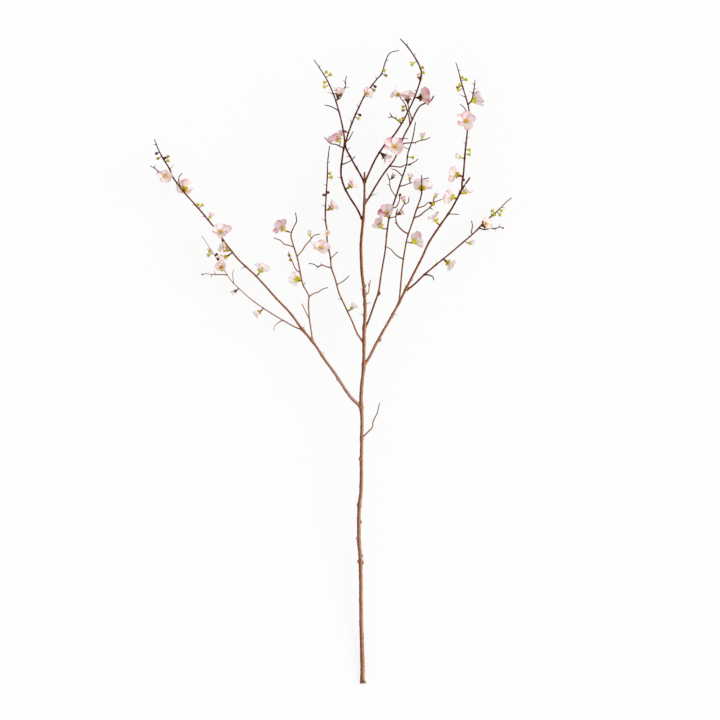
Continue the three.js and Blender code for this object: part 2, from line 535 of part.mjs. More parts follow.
// Five petals that spring from one small disc, as one blade cut into five cupped lobes. They tilt
// like the blades of a pinwheel, so each laps over the next without crossing it, and both faces of
// the blade are split alike. An open bloom with no tuft of its own has a stamen before each petal.
function corolla(frame, stations, withStamens) {
  const { reach, spread } = frame;
  const open = spread > OPEN_SPREAD;
  const halfWidth = 0.5 * reach * (open ? 0.96 : 0.74);
  const pinwheel = halfWidth * (open ? 0.2 : 0.42);
  const cupping = halfWidth * 0.3;
  const seat = frame.cup + SEAT_GAP + BLADE;
  const inner = [along(frame.foot, frame.ahead, seat)];
  const backwards = [frame.ahead.clone().negate()];
  const faces = [];
  const outline = [];
  const lobe = 2 + 3 * (stations.length - 1) + 1;
  turns(PETALS).forEach((turn, k) => {
    const away = frame.out(turn);
    const sideways = new THREE.Vector3().crossVectors(frame.ahead, away);
    const inwards = (angle) => {
      return away.clone().multiplyScalar(-Math.cos(angle)).addScaledVector(frame.ahead, Math.sin(angle));
    };
    const first = 1 + lobe * k;
    const add = (point, angle) => {
      inner.push(point);
      backwards.push(inwards(angle).negate());
    };
    add(place(frame, turn - CLAW_TURN, CLAW_RADIUS * frame.size, seat), rad(90));
    add(place(frame, turn + CLAW_TURN, CLAW_RADIUS * frame.size, seat), rad(90));
    let middle = place(frame, turn, 0.8 * CLAW_RADIUS * frame.size, seat);
    for (const { length, lean, width } of stations) {
      const angle = lean * spread;
      const forwards = along(frame.ahead.clone().multiplyScalar(Math.cos(angle)), away, Math.sin(angle));
      middle = along(middle, forwards, length * reach);
      for (const sign of width > 0 ? [-1, 0, 1] : [0]) {
        const shifted = along(middle, sideways, sign * width * halfWidth);
        add(along(shifted, inwards(angle), Math.abs(sign) * width * (cupping + sign * pinwheel)), angle);
      }
    }
    const nextClaw = 1 + lobe * ((k + 1) % PETALS);
    faces.push([0, first + 1, nextClaw]);
    if (!withStamens) {
      faces.push([0, first, first + 1]);
    }
    faces.push([first, first + 3, first + 1], [first, first + 2, first + 3]);
    faces.push([first + 1, first + 3, first + 4]);
    for (let low = first + 2; low + 3 < first + lobe - 1; low += 3) {
      faces.push([low, low + 3, low + 4], [low, low + 4, low + 1]);
      faces.push([low + 1, low + 4, low + 5], [low + 1, low + 5, low + 2]);
    }
    const tip = first + lobe - 1;
    faces.push([tip - 3, tip, tip - 2], [tip - 2, tip, tip - 1]);
    const rising = stations.slice(0, -1).map((unused, i) => first + 2 + 3 * i);
    const falling = rising.map((corner) => corner + 2).reverse();
    outline.push(first, ...rising, tip, ...falling, first + 1);
  });
  const count = inner.length;
  const outer = inner.map((point, i) => along(point, backwards[i], BLADE));
  const behind = faces.map(([a, b, c]) => [a + count, c + count, b + count]);
  const tips = [];
  if (withStamens) {
    turns(PETALS).forEach((turn, k) => {
      const [claw, stamen] = [1 + lobe * k, 2 * count + k];
      behind.push([count, claw + 1 + count, claw + count]);
      faces.push([0, claw, stamen], [claw, claw + 1, stamen], [claw + 1, 0, stamen]);
      tips.push(place(frame, turn, CLAW_RADIUS, seat + STAMEN_SHARE * reach));
    });
  }
  const rim = outline.flatMap((a, k) => {
    const b = outline[(k + 1) % outline.length];
    return [[a, a + count, b], [b, a + count, b + count]];
  });
  return closedSolid([...inner, ...outer, ...tips], [...faces, ...behind, ...rim]);
}

// The stamen tuft of a big bloom: a small disc just above the petals' one, with a ring of stamens.
function stamenTuft(frame) {
  const low = frame.cup + 2 * SEAT_GAP + BLADE;
  const tipHeight = low + TUFT_SHARE * frame.reach;
  const corners = turns(TUFT_STAMENS);
  const vertices = [
    ...corners.map((turn) => place(frame, turn, TUFT_RADIUS, low)),
    ...corners.map((turn) => place(frame, turn, TUFT_RADIUS, low + BLADE)),
    ...turns(TUFT_STAMENS, 0.5).map((turn) => place(frame, turn, 2.2 * TUFT_RADIUS, tipHeight)),
    place(frame, 0, 0, low),
    place(frame, 0, 0, low + BLADE),
  ];
  const faces = corners.flatMap((unused, k) => {
    const next = (k + 1) % TUFT_STAMENS;
    const [upper, upperNext] = [TUFT_STAMENS + k, TUFT_STAMENS + next];
    const tip = 2 * TUFT_STAMENS + k;
    const [under, over] = [3 * TUFT_STAMENS, 3 * TUFT_STAMENS + 1];
    return [[under, next, k], [k, next, upper], [next, upperNext, upper],
      [over, upper, tip], [upper, upperNext, tip], [upperNext, over, tip]];
  });
  return closedSolid(vertices, faces);
}

const joined = (solids) => wasm.Manifold.union(solids).simplify(TIDY);

function mesh(name, solid, colour, roughness) {
  const { vertProperties, triVerts } = solid.getMesh();
  const geometry = new THREE.BufferGeometry();
  geometry.setAttribute('position', new THREE.BufferAttribute(vertProperties, 3));
  geometry.setIndex(new THREE.BufferAttribute(triVerts, 1));
  geometry.computeVertexNormals();
  const material = new THREE.MeshStandardMaterial({ color: colour, roughness, metalness: 0 });
  const made = new THREE.Mesh(geometry, material);
  made.name = name;
  made.position.set(-CENTRE[0], -CENTRE[1], -TABLE);
  return made;
}

function growBloom(name, row, number) {
  const frame = bloomFrame(name, row);
  growCalyx(frame);
  const ownTuft = row[6];
  const petals = corolla(frame, ownTuft ? ROUND_PETAL : PLAIN_PETAL, !ownTuft && frame.spread > OPEN_SPREAD);
  const meshes = [mesh(`${name}_bloom_${number}`, petals, '#f0cfd4', 0.6)];
  if (ownTuft) {
    meshes.push(mesh(`${name}_stamens_${number}`, stamenTuft(frame), '#e3a83a', 0.7));
  }
  return meshes;
}

// The table trims what would dip below it, which leaves the small flats that the branch rests on.
function trimmedByTable(solid) {
  return solid.trimByPlane([0, 0, 1], TABLE);
}

// ---- assembly ----
const branchGroup = new THREE.Group();
branchGroup.name = 'quince_blossom_branch';

for (const [name, limb] of Object.entries(LIMBS)) {
  growLimb(name, limb);
  (TWIGS[name] ?? []).forEach((twig) => growTwig(name, twig));
  (THORNS[name] ?? []).forEach((thorn, i) => growThorn(name, thorn, i));
  (KNOTS[name] ?? []).forEach((knot) => growKnot(name, knot));
  (BUDS[name] ?? []).forEach((bud) => growBud(name, bud));
}
for (const [name, rows] of Object.entries(BLOOMS)) {
  rows.forEach((row, i) => branchGroup.add(...growBloom(name, row, i + 1)));
}
branchGroup.add(mesh('wood', trimmedByTable(joined(wood)), '#6b4530', 0.85));

export default branchGroup;
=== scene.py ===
import math

import bpy
import numpy as np
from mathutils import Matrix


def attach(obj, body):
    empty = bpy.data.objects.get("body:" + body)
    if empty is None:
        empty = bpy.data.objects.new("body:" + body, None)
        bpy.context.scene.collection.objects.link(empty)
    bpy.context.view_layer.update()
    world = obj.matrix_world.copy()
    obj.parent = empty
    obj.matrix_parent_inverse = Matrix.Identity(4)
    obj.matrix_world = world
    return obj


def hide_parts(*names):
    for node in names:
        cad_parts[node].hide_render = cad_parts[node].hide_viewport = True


# The looks of a cut branch of flowering quince that lies on a table, seen from above.
# Lengths in the tables are millimetres, from the middle of the butt: x to the right, y towards
# the tips and z up. Meshes are made in metres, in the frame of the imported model.

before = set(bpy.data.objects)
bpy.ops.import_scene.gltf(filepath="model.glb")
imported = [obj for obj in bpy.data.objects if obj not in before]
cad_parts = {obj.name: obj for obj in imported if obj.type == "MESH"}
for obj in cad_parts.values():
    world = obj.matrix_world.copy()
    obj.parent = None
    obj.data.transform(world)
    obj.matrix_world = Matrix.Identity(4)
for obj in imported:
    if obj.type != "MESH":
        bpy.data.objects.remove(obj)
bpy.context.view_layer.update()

# ---- sizes ----
MM = 0.001  # a millimetre, in metres
CENTRE = np.array([-63.02, 644.07, 0.0])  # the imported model's origin

FIRST_HEIGHT = 4.2  # height of the trunk's axis at the butt
TRUNK_RISE = 102
LIMB_STEP = 2.5  # spacing of the rings along a limb
TWIG_STEP = 2.0
TWIG_TIP = 0.6
TIP_FULLNESS = 0.35  # rough young bark makes the thinnest wood this share fuller
LEAN_LIMBS = {"leftLow"}  # but not on these limbs
COLLAR, COLLAR_REACH = 0.7, 1.2  # a root is this share thicker, which fades over so many parent radii
LIMB_SWELLING, TWIG_SWELLING, SPRIG_SWELLING = 0.3, 0.2, 0.22  # of the bark where one springs from it
TO_TABLE = -math.inf  # marks a twig that reaches down to the table
TRUNK_SIDES, LIMB_SIDES, TWIG_SIDES, SPINDLE_SIDES, THORN_SIDES = 20, 12, 8, 12, 6
CUT_ENDS = {"trunk", "rightLimb"}  # the limbs whose tips were cut off
KNUCKLE_HEIGHT, KNUCKLE_RADIUS, KNUCKLE_AGE = 1.8, 1.9, 0.5
KNOT_LENGTH = 1.6  # how far a knot reaches each way along its limb, in its radii
KNOT_PALER = 0.08  # how much paler its bark is than that of its limb
THORN_RADIUS, THORN_AGE = 0.95, 0.75
THORN_TILTS = [0.5, -0.3, 0.2, -0.5]  # the rise of each thorn in turn, as a share of its length
SPLINTERS, SPLINTER_RADIUS, SPLINTER_SEED = 11, 2.0, 7

BUD_RADIUS, BUD_LIFT, BUD_TIP = 2.9, 1.2, 4.0
BUD_SCALES = 4
STALK = 1.1
CUP_LENGTH, CUP_FOOT, CUP_TOP = 7.8, 1.8, 3.9
DARK_CUP_FATTER = 0.2  # a dark red calyx is this share fatter than a lime one
SEPAL_LENGTH, SEPAL_HALF_WIDTH = 4.8, 2.6
SEPAL_BACK = math.radians(35)  # sepals stand this much further back than the petals
SEPAL_LIMIT = math.radians(110)
SCALE_THICK = 0.45  # of sepals and bud scales
PETALS = 5
PETAL_ROWS, PETAL_COLUMNS = 17, 13
PETAL_THICK = 0.4
PETAL_BROADEST = 0.58  # the share of its length where a petal is broadest
CLAW_RADIUS = 2.2
OPEN_SPREAD = 40  # degrees from the axis; a bloom of less is half open
SMALLEST_BLOOM = 0.62  # a bloom's cup and disc are at least this share of full size
FULL_REACH = 16  # the petal length from which they have their full size
SEAT_HEIGHT = 0.85  # of the roots of the petals above the cup
DISC = ((1.6, -0.7), (2.3, -0.4), (2.0, 0.1), (1.2, 0.45), (0.1, 0.5))  # radius, height
BLOOM_SIDES = 16
TUFT_OPEN, TUFT_SHUT = (24, 1.0), (9, 0.45)  # the number of stamens and how far they spread
TUFT_HEIGHT = 0.36  # as a share of the petals
TUFT_FOOT, TUFT_TOP = 1.7, 3.7  # how far the outermost stamens spread, at foot and top
GOLDEN_TURN = 0.618  # each stamen stands this share of a turn on from the last
FILAMENT_RADIUS, FILAMENT_SIDES = 0.2, 4
ANTHER_RADIUS, ANTHER_LENGTH, ANTHER_SIDES = 0.88, 2.4, 7  # the length in radii


def numbers(text):
    """Rows of numbers, written as 1,2 3,4 for [[1, 2], [3, 4]]."""
    return [[float(number) for number in row.split(",")] for row in text.split()]


def rows_of(table, name):
    return numbers(table.get(name, ""))


# ---- limbs: parent, height of the tip, bow, bark tones, girth, route ----
# bow lifts (or sags) the middle. The tones say how dark the bark is at the root and at the tip,
# from 0, old and tan, to 1, young and dark. girth gives share of the length,radius and route gives
# x,y from root to tip.
LIMBS = {
    "trunk": [None, FIRST_HEIGHT + TRUNK_RISE, 0, [0.24, 0.58],
        "0,4.7 0.16,3.7 0.26,3.95 0.5,3.35 0.55,3.7 0.65,3.2 0.85,3 1,1.8",
        "0,0 0,42 -2,102 -3,164 -4,246 -7,286 -6,358 -3,382 -2,466 -1,522 -3,570 -2,588 2,628 3,666 "
        "3,692 5,742 4,778 -1,820 -3,866 -2,892 3,946 4,982 4,1022"],
    "leftLimb": ["trunk", 64, -8, [0.0, 0.98], "0,3.3 0.2,2.6 0.5,1.8 0.75,1.6 0.9,1.4 1,0.6",
        "-2,552 -22,570 -39,594 -57,622 -77,649 -96,678 -120,707 -143,738 -173,770 -210,811 -246,845 "
        "-266,869 -299,914 -315,934 -335,957 -356,981 -380,1013 -385,1026 -405,1060 -416,1087"],
    "rightLimb": ["trunk", 96, 0, [0.1, 0.98], "0,3.1 0.3,2.4 0.7,2.1 1,1.6",
        "2,634 12,648 25,674 41,703 61,738 80,774 99,812 118,849 133,881 153,912 176,945 189,968 200,989 "
        "215,1011"],
    "leftLow": ["leftLimb", 34, -12, [0.4, 0.0], "0,1.4 0.5,1 1,0.6",
        "-119,706 -135,712 -160,726 -185,741 -221,766 -245,787 -265,808 -284,839 -297,857 -312,880 "
        "-322,895"],
    "leftSpray": ["leftLimb", 128, 10, [0.08, 0.75], "0,1.4 0.4,1.2 0.65,1.4 1,0.7",
        "-100,686 -103,708 -106,728 -108,760 -107,773 -119,797 -125,824 -131,853 -137,872 -143,896 "
        "-138,911 -132,923 -134,940"],
    "innerLeft": ["trunk", 60, -6, [0.25, 0.95], "0,1.8 0.3,1.4 0.65,1.4 0.85,1 1,0.7",
        "0,684 -10,698 -21,724 -35,754 -47,780 -54,806 -62,830 -64,850 -71,888 -71,906 -74,925 -73,970 "
        "-70,1018 -70,1036 -66,1074"],
    "innerRight": ["trunk", 60, -5, [0.6, 0.95], "0,2.1 0.35,1.5 0.65,1.6 0.85,1.1 1,0.7",
        "4,708 13,727 23,756 32,782 37,816 45,862 49,902 53,929 61,955 70,982 80,1013 88,1037 91,1060 "
        "100,1088 106,1121"],
    "midRight": ["rightLimb", 120, 8, [0.5, 0.95], "0,1.7 0.5,1.3 0.8,1.3 1,0.7",
        "73,760 76,790 79,826 84,862 90,892 100,922 107,944 118,978 118,1015"],
    "rightTop": ["rightLimb", 76, 10, [0.85, 0.85], "0,1.9 0.4,1.5 0.75,1.1 1,0.6",
        "199,987 199,998 202,1020 204,1046 207,1078 210,1108 213,1145 207,1170 198,1200 192,1224 "
        "187,1240"],
    "rightLow": ["rightLimb", 22, -14, [0.8, 0.7], "0,1.9 0.5,1.4 0.8,1 1,0.6",
        "88,786 102,796 124,817 143,833 170,855 202,882 226,903 243,921 269,943 289,963 298,970"],
    "crownLeft": ["trunk", 150, 8, [0.95, 0.9], "0,1.9 0.35,1.9 0.6,1.6 0.8,1 1,0.6",
        "-1,928 -10,947 -26,972 -38,996 -43,1018 -40,1054 -36,1085 -42,1122 -48,1146 -59,1180 -72,1208 "
        "-86,1230 -97,1246"],
    "crownCross": ["trunk", 90, -10, [0.95, 0.9], "0,1.9 0.4,1.6 0.7,1.2 1,0.6",
        "3,1002 -5,1018 -21,1046 -34,1074 -31,1092 -21,1120 -8,1150 4,1174 29,1208 38,1218 46,1243 "
        "55,1260 72,1265"],
    "crownRight": ["trunk", 170, 5, [0.85, 0.95], "0,1.9 0.3,1.8 0.6,1.5 0.85,1.3 1,0.8",
        "5,1002 15,1025 26,1048 46,1078 60,1092 79,1120 91,1143 101,1164 112,1193 118,1217 114,1234 "
        "103,1254 88,1275 76,1288"],
    "crownFar": ["trunk", 116, -8, [0.8, 0.85], "0,1.9 0.5,1.6 1,1.2",
        "4,958 13,971 26,993 44,1021 63,1046 72,1066 84,1096 95,1117 107,1142 115,1154 129,1161 136,1164 "
        "142,1173"],
}

# ---- twigs of each limb: rise of the tip, radius at the root, route ----
TWIGS = {
    "trunk": [
        [14, 1.5, "-1,490 12,503 20,512 21,522 26,533 30,541 34,560"],
        [8, 1.0, "4,776 11,780 13,788 14,796 16,806"],
        [3, 0.8, "14,793 11,799"],
    ],
    "leftLimb": [
        [-16, 1.2, "-380,1012 -393,1017 -408,1023 -416,1030 -424,1034"],
        [10, 0.9, "-361,987 -367,1002 -367,1012 -361,1019"],
    ],
    "leftLow": [
        [TO_TABLE, 1.3, "-271,816 -284,817 -302,817 -313,819 -320,817"],
        [9, 0.8, "-257,800 -259,810 -260,818 -257,827"],
        [-4, 1.0, "-159,726 -168,721 -175,715 -178,705"],
    ],
    "leftSpray": [
        [-6, 0.8, "-106,728 -112,739 -121,758"],
        [12, 1.1, "-107,773 -95,780 -88,782 -81,787 -70,791"],
        [-14, 1.1, "-124,821 -133,827 -139,840 -144,851 -148,862"],
        [12, 1.2, "-131,853 -121,864 -114,875 -108,882 -103,888 -97,895 -85,898"],
        [-12, 1.1, "-137,872 -146,875 -157,878 -164,885 -177,890"],
    ],
    "innerLeft": [
        [-8, 0.9, "-49,797 -38,804 -27,814"],
        [-16, 1.1, "-62,830 -73,833 -81,836 -89,833 -99,838 -107,839"],
        [6, 0.8, "-64,849 -55,857 -50,862"],
    ],
    "innerRight": [
        [-10, 1.0, "80,1014 73,1020 66,1026 58,1028"],
        [6, 1.0, "74,993 85,996 96,1000 100,1001"],
        [-18, 0.8, "67,973 59,984 55,994 54,1006 49,1019"],
        [6, 1.0, "60,950 67,952 71,958 74,966 74,973"],
        [-6, 0.9, "54,930 63,932 69,936"],
    ],
    "rightLimb": [
        [6, 0.9, "171,937 181,938 192,937"],
    ],
    "midRight": [
        [10, 1.1, "82,848 71,853 64,859 57,867 49,872"],
        [14, 1.6, "91,898 80,905 69,918 67,926 67,934 68,942 71,948"],
        [8, 1.0, "68,938 74,943 80,952 84,958 91,961 93,972"],
        [-14, 1.6, "103,930 115,935 123,942 130,947 135,950 140,947"],
        [-6, 1.3, "135,950 137,954 141,958 142,964 143,973"],
        [5, 0.9, "142,961 150,964 158,967"],
        [12, 1.0, "109,949 118,952 125,955 131,961 135,960"],
        [6, 0.7, "118,1007 126,1009 133,1010"],
    ],
    "rightTop": [
        [-18, 1.1, "211,1157 216,1162 220,1171 222,1183 224,1193 225,1206"],
        [6, 0.9, "213,1138 207,1145 203,1151 196,1157"],
    ],
    "rightLow": [
        [4, 1.7, "124,817 132,816 138,814 142,810 142,806"],
        [10, 0.9, "219,897 218,903 220,914 218,924"],
        [TO_TABLE, 1.2, "233,910 243,907 257,909 267,909 274,912 281,910"],
    ],
    "crownLeft": [
        [-16, 1.0, "-39,1070 -53,1077 -64,1079 -76,1091"],
        [8, 1.0, "-42,1037 -33,1040 -23,1045 -15,1053"],
        [6, 0.9, "-48,1144 -57,1150 -63,1153 -75,1156"],
        [-14, 1.0, "-54,1165 -45,1170 -41,1177 -38,1187 -34,1194 -34,1204 -32,1214"],
    ],
    "crownCross": [
        [-6, 1.0, "-33,1083 -28,1087 -22,1097 -19,1103"],
    ],
    "crownRight": [
        [8, 1.1, "79,1119 72,1124 66,1129 59,1132 52,1131"],
        [3, 0.8, "59,1132 55,1140"],
        [-12, 0.7, "58,1090 71,1089 90,1089"],
    ],
    "crownFar": [
        [8, 1.1, "77,1078 89,1080 105,1081 115,1085 126,1087 135,1091"],
        [-5, 1.2, "54,1034 65,1033 77,1032 85,1036 97,1036"],
        [4, 0.9, "92,1036 98,1039 105,1043 111,1048"],
        [2, 1.2, "95,1117 93,1132 89,1146 85,1158 76,1170"],
        [6, 1.2, "99,1127 94,1142 91,1157"],
    ],
}

# ---- thorns and blunt spurs: x,y of the root, then x,y of the point ----
THORNS = {
    "trunk": "4,757,19,762 3,735,-8,739 0,780,-6,791 -6,357,-13,360",
    "leftLimb": "-413,1076,-420,1077 -384,1028,-376,1038 -315,933,-322,933 -235,833,-246,826 "
        "-117,709,-115,716 -79,658,-75,664 -416,1030,-414,1038 -409,1022,-413,1015",
    "rightLimb": "194,980,192,991 88,790,84,797 61,736,70,737",
    "leftLow": "-305,867,-313,868 -295,818,-296,826 -302,817,-303,810",
    "leftSpray": "-117,796,-113,803",
    "innerLeft": "-74,953,-83,957 -75,924,-82,930 -43,767,-52,768 -82,835,-84,842 -88,834,-92,827",
    "innerRight": "55,995,48,998",
    "midRight": "69,919,62,921",
    "rightTop": "204,1171,191,1178 205,1078,201,1084 221,1180,213,1183 223,1187,231,1190 "
        "224,1196,217,1201",
    "rightLow": "258,936,256,946 279,951,287,949 148,838,148,845 264,909,266,902",
    "crownLeft": "-85,1231,-85,1239 -60,1177,-72,1183 -43,1010,-52,1012 -39,1184,-47,1192 "
        "-36,1189,-25,1193 -34,1199,-40,1208",
    "crownCross": "-23,1121,-26,1129 -8,1152,-13,1158 47,1244,54,1247 -30,1066,-22,1073 "
        "-27,1053,-35,1052 -8,1029,-10,1038",
    "crownRight": "88,1275,91,1282 46,1078,42,1084 66,1129,68,1136",
    "crownFar": "15,974,32,980",
}

# Thorns too fine to swell the bark.
FINE_THORNS = {
    "leftLimb": "-336,956,-342,955",
    "leftSpray": "-106,884,-101,880",
    "innerLeft": "-69,1040,-63,1042 -73,995,-79,998",
    "rightTop": "192,1224,196,1228 209,1090,214,1092",
    "rightLow": "274,912,275,918",
    "crownCross": "29,1208,25,1213",
    "crownRight": "105,1255,107,1261 107,1184,101,1187",
    "crownFar": "105,1081,108,1076",
}

# ---- knots and knuckles: x,y,radius ----
KNOTS = {
    "trunk": "-9,356,2.8 -4,322,3.1 -9,289,3.9 -4,448,4 -1,241,3.7 -2,254,3.3 -8,243,2.9 -1,90,4.2 "
        "5,794,2.6 6,966,2.8",
    "leftLimb": "-79,653,3 -49,607,3.4 -152,749,2.6",
    "rightLimb": "35,686,3.2 49,717,3.2 59,733,3.2 98,807,2.7",
    "rightTop": "203,1006,2",
    "innerRight": "33,779,3.2",
}

# ---- buds: x,y,tone of the middle ----
# The tone of a bud or a calyx is 0 for lime green, 0.5 for olive and 1 for dark red brown.
BUDS = {
    "leftLimb": "-412,1059,1 -409,1049,0.5 -395,1050,1 -389,1053,0.5 -389,1045,0 -329,957,0 -320,956,0 "
        "-279,884,1",
    "leftLow": "-306,863,0 -308,855,0 -292,857,1 -289,848,1",
    "leftSpray": "-147,855,0.5 -144,846,0.5",
    "innerLeft": "-65,1019,0 -62,1011,0 -69,981,1 -77,976,1",
    "innerRight": "81,1072,0 101,1051,0 75,976,1",
    "midRight": "136,960,1 141,958,0",
    "rightTop": "200,1211,0 207,1207,0 190,1191,0.5 195,1196,0 192,1186,0 214,1066,0 214,1057,0",
    "rightLow": "260,945,0 263,937,0 278,944,0 275,936,0",
    "crownLeft": "-72,1222,0 -64,1217,0 -76,1201,0 -76,1192,0",
    "crownCross": "25,1193,1 23,1186,0.5 44,1225,0 47,1215,0.5 -5,1136,1 -8,1129,0 -35,1103,1",
    "crownRight": "100,1239,0 120,1231,0.35 122,1221,0 75,1126,0 81,1129,0.5",
    "crownFar": "81,1152,0 81,1145,0.5 65,1061,0.5",
}

# How much longer the scales of a few buds are, by their x, y.
LONG_BUDS = {(100, 1239): 1.5, (25, 1193): 1.3, (81, 1072): 1.4}

# ---- blooms: x,y of the calyx foot,heading,lift,petal length,spread,pinkness,calyx tone ----
# The angles are in degrees. A pinkness below 0 is paler than that of most blooms.
BLOOMS = {
    "leftLimb": "-395,1017,-90,75,15,66,0.3,0 -357,984,80,-60,21,64,0.15,0.5 -284,891,95,40,21,68,0.3,0 "
        "-268,864,150,30,15,45,0.05,0.5 -268,855,205,0,14,42,0.15,0.5 -207,819,65,22,18,72,-0.05,0 "
        "-307,928,65,15,9,28,0,0",
    "leftLow": "-281,824,100,45,14,60,0.05,0 -202,745,215,15,12,50,-0.25,0.5 -251,786,215,0,9,30,0,1",
    "leftSpray": "-153,904,145,22,19,66,0.5,0 -126,805,150,-50,16,68,-0.15,0 -105,893,100,20,8,26,0,0",
    "innerLeft": "-69,946,40,15,15,52,0.15,0.5 -82,862,95,45,18,66,0.35,0 -25,746,50,15,11,42,-0.1,0.5 "
        "-71,896,90,70,8,45,0.1,0",
    "innerRight": "52,931,118,40,20,68,0.35,0.5 40,909,130,28,16,60,0.25,0 58,1008,60,10,7,30,0.3,1 "
        "94,1005,80,10,9,35,0.1,0.5 71,936,25,0,8,28,0.3,1",
    "rightLimb": "187,969,160,-25,18,64,0.2,0 199,978,35,15,15,45,-0.25,0 150,919,115,10,16,55,0,0",
    "midRight": "117,984,90,-50,20,72,0.2,0.5 98,880,30,-28,20,66,0.15,0 84,959,105,10,9,30,0.4,0.5 "
        "143,967,60,20,8,30,-0.05,0",
    "rightTop": "217,1161,25,-30,19,68,0,0 208,1118,100,62,20,72,0.3,0.5 196,1014,165,-22,20,68,0.25,0.5 "
        "199,1050,160,15,9,32,-0.1,0",
    "rightLow": "239,914,30,42,16,64,0.05,1 165,845,-35,-15,17,62,-0.2,0.5 209,880,0,15,11,32,-0.15,0",
    "crownLeft": "-50,1170,78,20,16,56,0.2,1 -44,1081,128,22,21,72,0.5,0 -29,990,45,20,14,60,0.05,0.5",
    "crownCross": "5,1173,45,45,13,62,0.4,0.5",
    "crownRight": "110,1170,8,-28,22,72,0.5,1 64,1066,85,60,22,72,0.25,0.5 38,1059,-42,10,16,45,0,1 "
        "114,1207,100,20,8,26,0.1,1",
    "crownFar": "76,1173,150,-10,14,54,0.2,0.5 91,1160,98,14,19,64,0.35,1 119,1086,85,20,9,30,0.1,0",
}

# The heading of the one petal that is much pinker than the rest, for the blooms at these x, y.
BLUSHING = {(52, 931): 172, (110, 1170): 10, (64, 1066): 100, (-153, 904): 180, (-44, 1081): 160,
            (217, 1161): 20}
BLUSH = 0.7
# The blooms, by their x, y, whose tuft of stamens is a deep golden yellow.
GOLDEN = {(64, 1066), (-281, 824), (208, 1118), (-268, 864), (150, 919)}
PALE_TUFT = 0.3


# ---- vectors ----
UP = np.array([0.0, 0.0, 1.0])
RIGHT = np.array([1.0, 0.0, 0.0])
TIPWARDS = np.array([0.0, 1.0, 0.0])


def unit(vector):
    return vector / np.maximum(np.linalg.norm(vector, axis=-1, keepdims=True), 1e-9)


def between(angle, first, second):
    """The direction at this angle from the first one towards the second."""
    return np.cos(angle) * first + np.sin(angle) * second


def turned(heading, lift):
    """The direction of a heading in plan and a lift above it, in degrees."""
    return between(math.radians(lift), between(math.radians(heading), RIGHT, TIPWARDS), UP)


def cross_directions(ahead):
    """Two directions that are square to this one and to each other."""
    reference = RIGHT if abs(ahead[2]) > 0.9 else UP
    side = unit(np.cross(ahead, reference))
    return side, np.cross(ahead, side)


def turns(sides):
    """The angles of the corners of a ring."""
    return 2 * math.pi * np.arange(sides) / sides


def ring(middle, reach, turn, side, over):
    """Points round a middle, at these angles from side towards over."""
    return middle + np.outer(reach * np.cos(turn), side) + np.outer(reach * np.sin(turn), over)


def shares(count, start=0):
    """A column of evenly spaced numbers up to 1."""
    return np.linspace(start, 1, count)[:, None]


def run_along(points):
    """How far along a line each of its points lies."""
    return np.concatenate([[0], np.cumsum(np.linalg.norm(np.diff(points, axis=0), axis=1))])


# ---- a mesh under construction ----
def put(name, data):
    """A new object in the scene."""
    made = bpy.data.objects.new(name, data)
    bpy.context.scene.collection.objects.link(made)
    return made


def grid_faces(rows, columns, wraps):
    faces = []
    for i in range(rows - 1):
        for k in range(columns if wraps else columns - 1):
            after = (k + 1) % columns
            low, high = i * columns, (i + 1) * columns
            faces.append((low + k, low + after, high + after, high + k))
    return faces


class Body:
    """Collects shapes in millimetres, with named numbers at each vertex, and makes one object."""

    def __init__(self):
        self.points = []
        self.faces = []
        self.marks = {}
        self.count = 0

    def add(self, points, faces, marks):
        self.faces += [tuple(corner + self.count for corner in face) for face in faces]
        self.points.append(points)
        for name in sorted(set(self.marks) | set(marks)):
            before = self.marks.setdefault(name, [np.zeros(self.count)])
            before.append(marks.get(name, np.zeros(len(points))))
        self.count += len(points)

    def add_rings(self, rings, **marks):
        """A skin over rings of points, closed at both ends. A mark spreads over rows and turns."""
        rings = np.array(rings)
        rows, sides = rings.shape[:2]
        first, last = rows * sides, rows * sides + 1
        edge = first - sides
        faces = grid_faces(rows, sides, True)
        faces += [((k + 1) % sides, k, first) for k in range(sides)]
        faces += [(edge + k, edge + (k + 1) % sides, last) for k in range(sides)]
        spread = {}
        for name, mark in marks.items():
            grid = np.broadcast_to(mark, (rows, sides))
            spread[name] = np.concatenate([grid.ravel(), [grid[0].mean(), grid[-1].mean()]])
        ends = [rings[0].mean(axis=0), rings[-1].mean(axis=0)]
        self.add(np.vstack([rings.reshape(-1, 3), ends]), faces, spread)

    def add_blade(self, face, behind, **marks):
        """A thin closed blade. face is a grid of points, and behind steps from each to its other side."""
        rows, columns = face.shape[:2]
        count = rows * columns
        front = grid_faces(rows, columns, False)
        cells = np.arange(count).reshape(rows, columns)
        rim = np.concatenate([cells[:, 0], cells[-1, 1:], cells[-2::-1, -1], cells[0, -2:0:-1]]).tolist()
        faces = front + [tuple(corner + count for corner in reversed(quad)) for quad in front]
        faces += [(a, b, b + count, a + count) for a, b in zip(rim, rim[1:] + rim[:1])]
        row, column = rows // 2, columns // 2
        across = face[row, column + 1] - face[row, column]
        along = face[row + 1, column] - face[row, column]
        if np.cross(across, along).dot(behind[row, 0]) > 0:
            faces = [tuple(reversed(corners)) for corners in faces]
        spread = {name: np.tile(np.broadcast_to(mark, (rows, columns)).ravel(), 2)
                  for name, mark in marks.items()}
        spread["back"] = np.repeat([0.0, 1.0], count)
        self.add(np.vstack([face.reshape(-1, 3), (face + behind).reshape(-1, 3)]), faces, spread)

    def build(self, name, material, nodes, slot):
        mesh = bpy.data.meshes.new(name)
        mesh.from_pydata((np.vstack(self.points) - CENTRE) * MM, [], self.faces)
        for mark, parts in self.marks.items():
            layer = mesh.attributes.new(mark, "FLOAT", "POINT")
            layer.data.foreach_set("value", np.concatenate(parts).astype(np.float32))
        mesh.shade_smooth()
        mesh.materials.append(material)
        made = put(name, mesh)
        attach(made, "root")
        if nodes:
            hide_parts(*nodes)


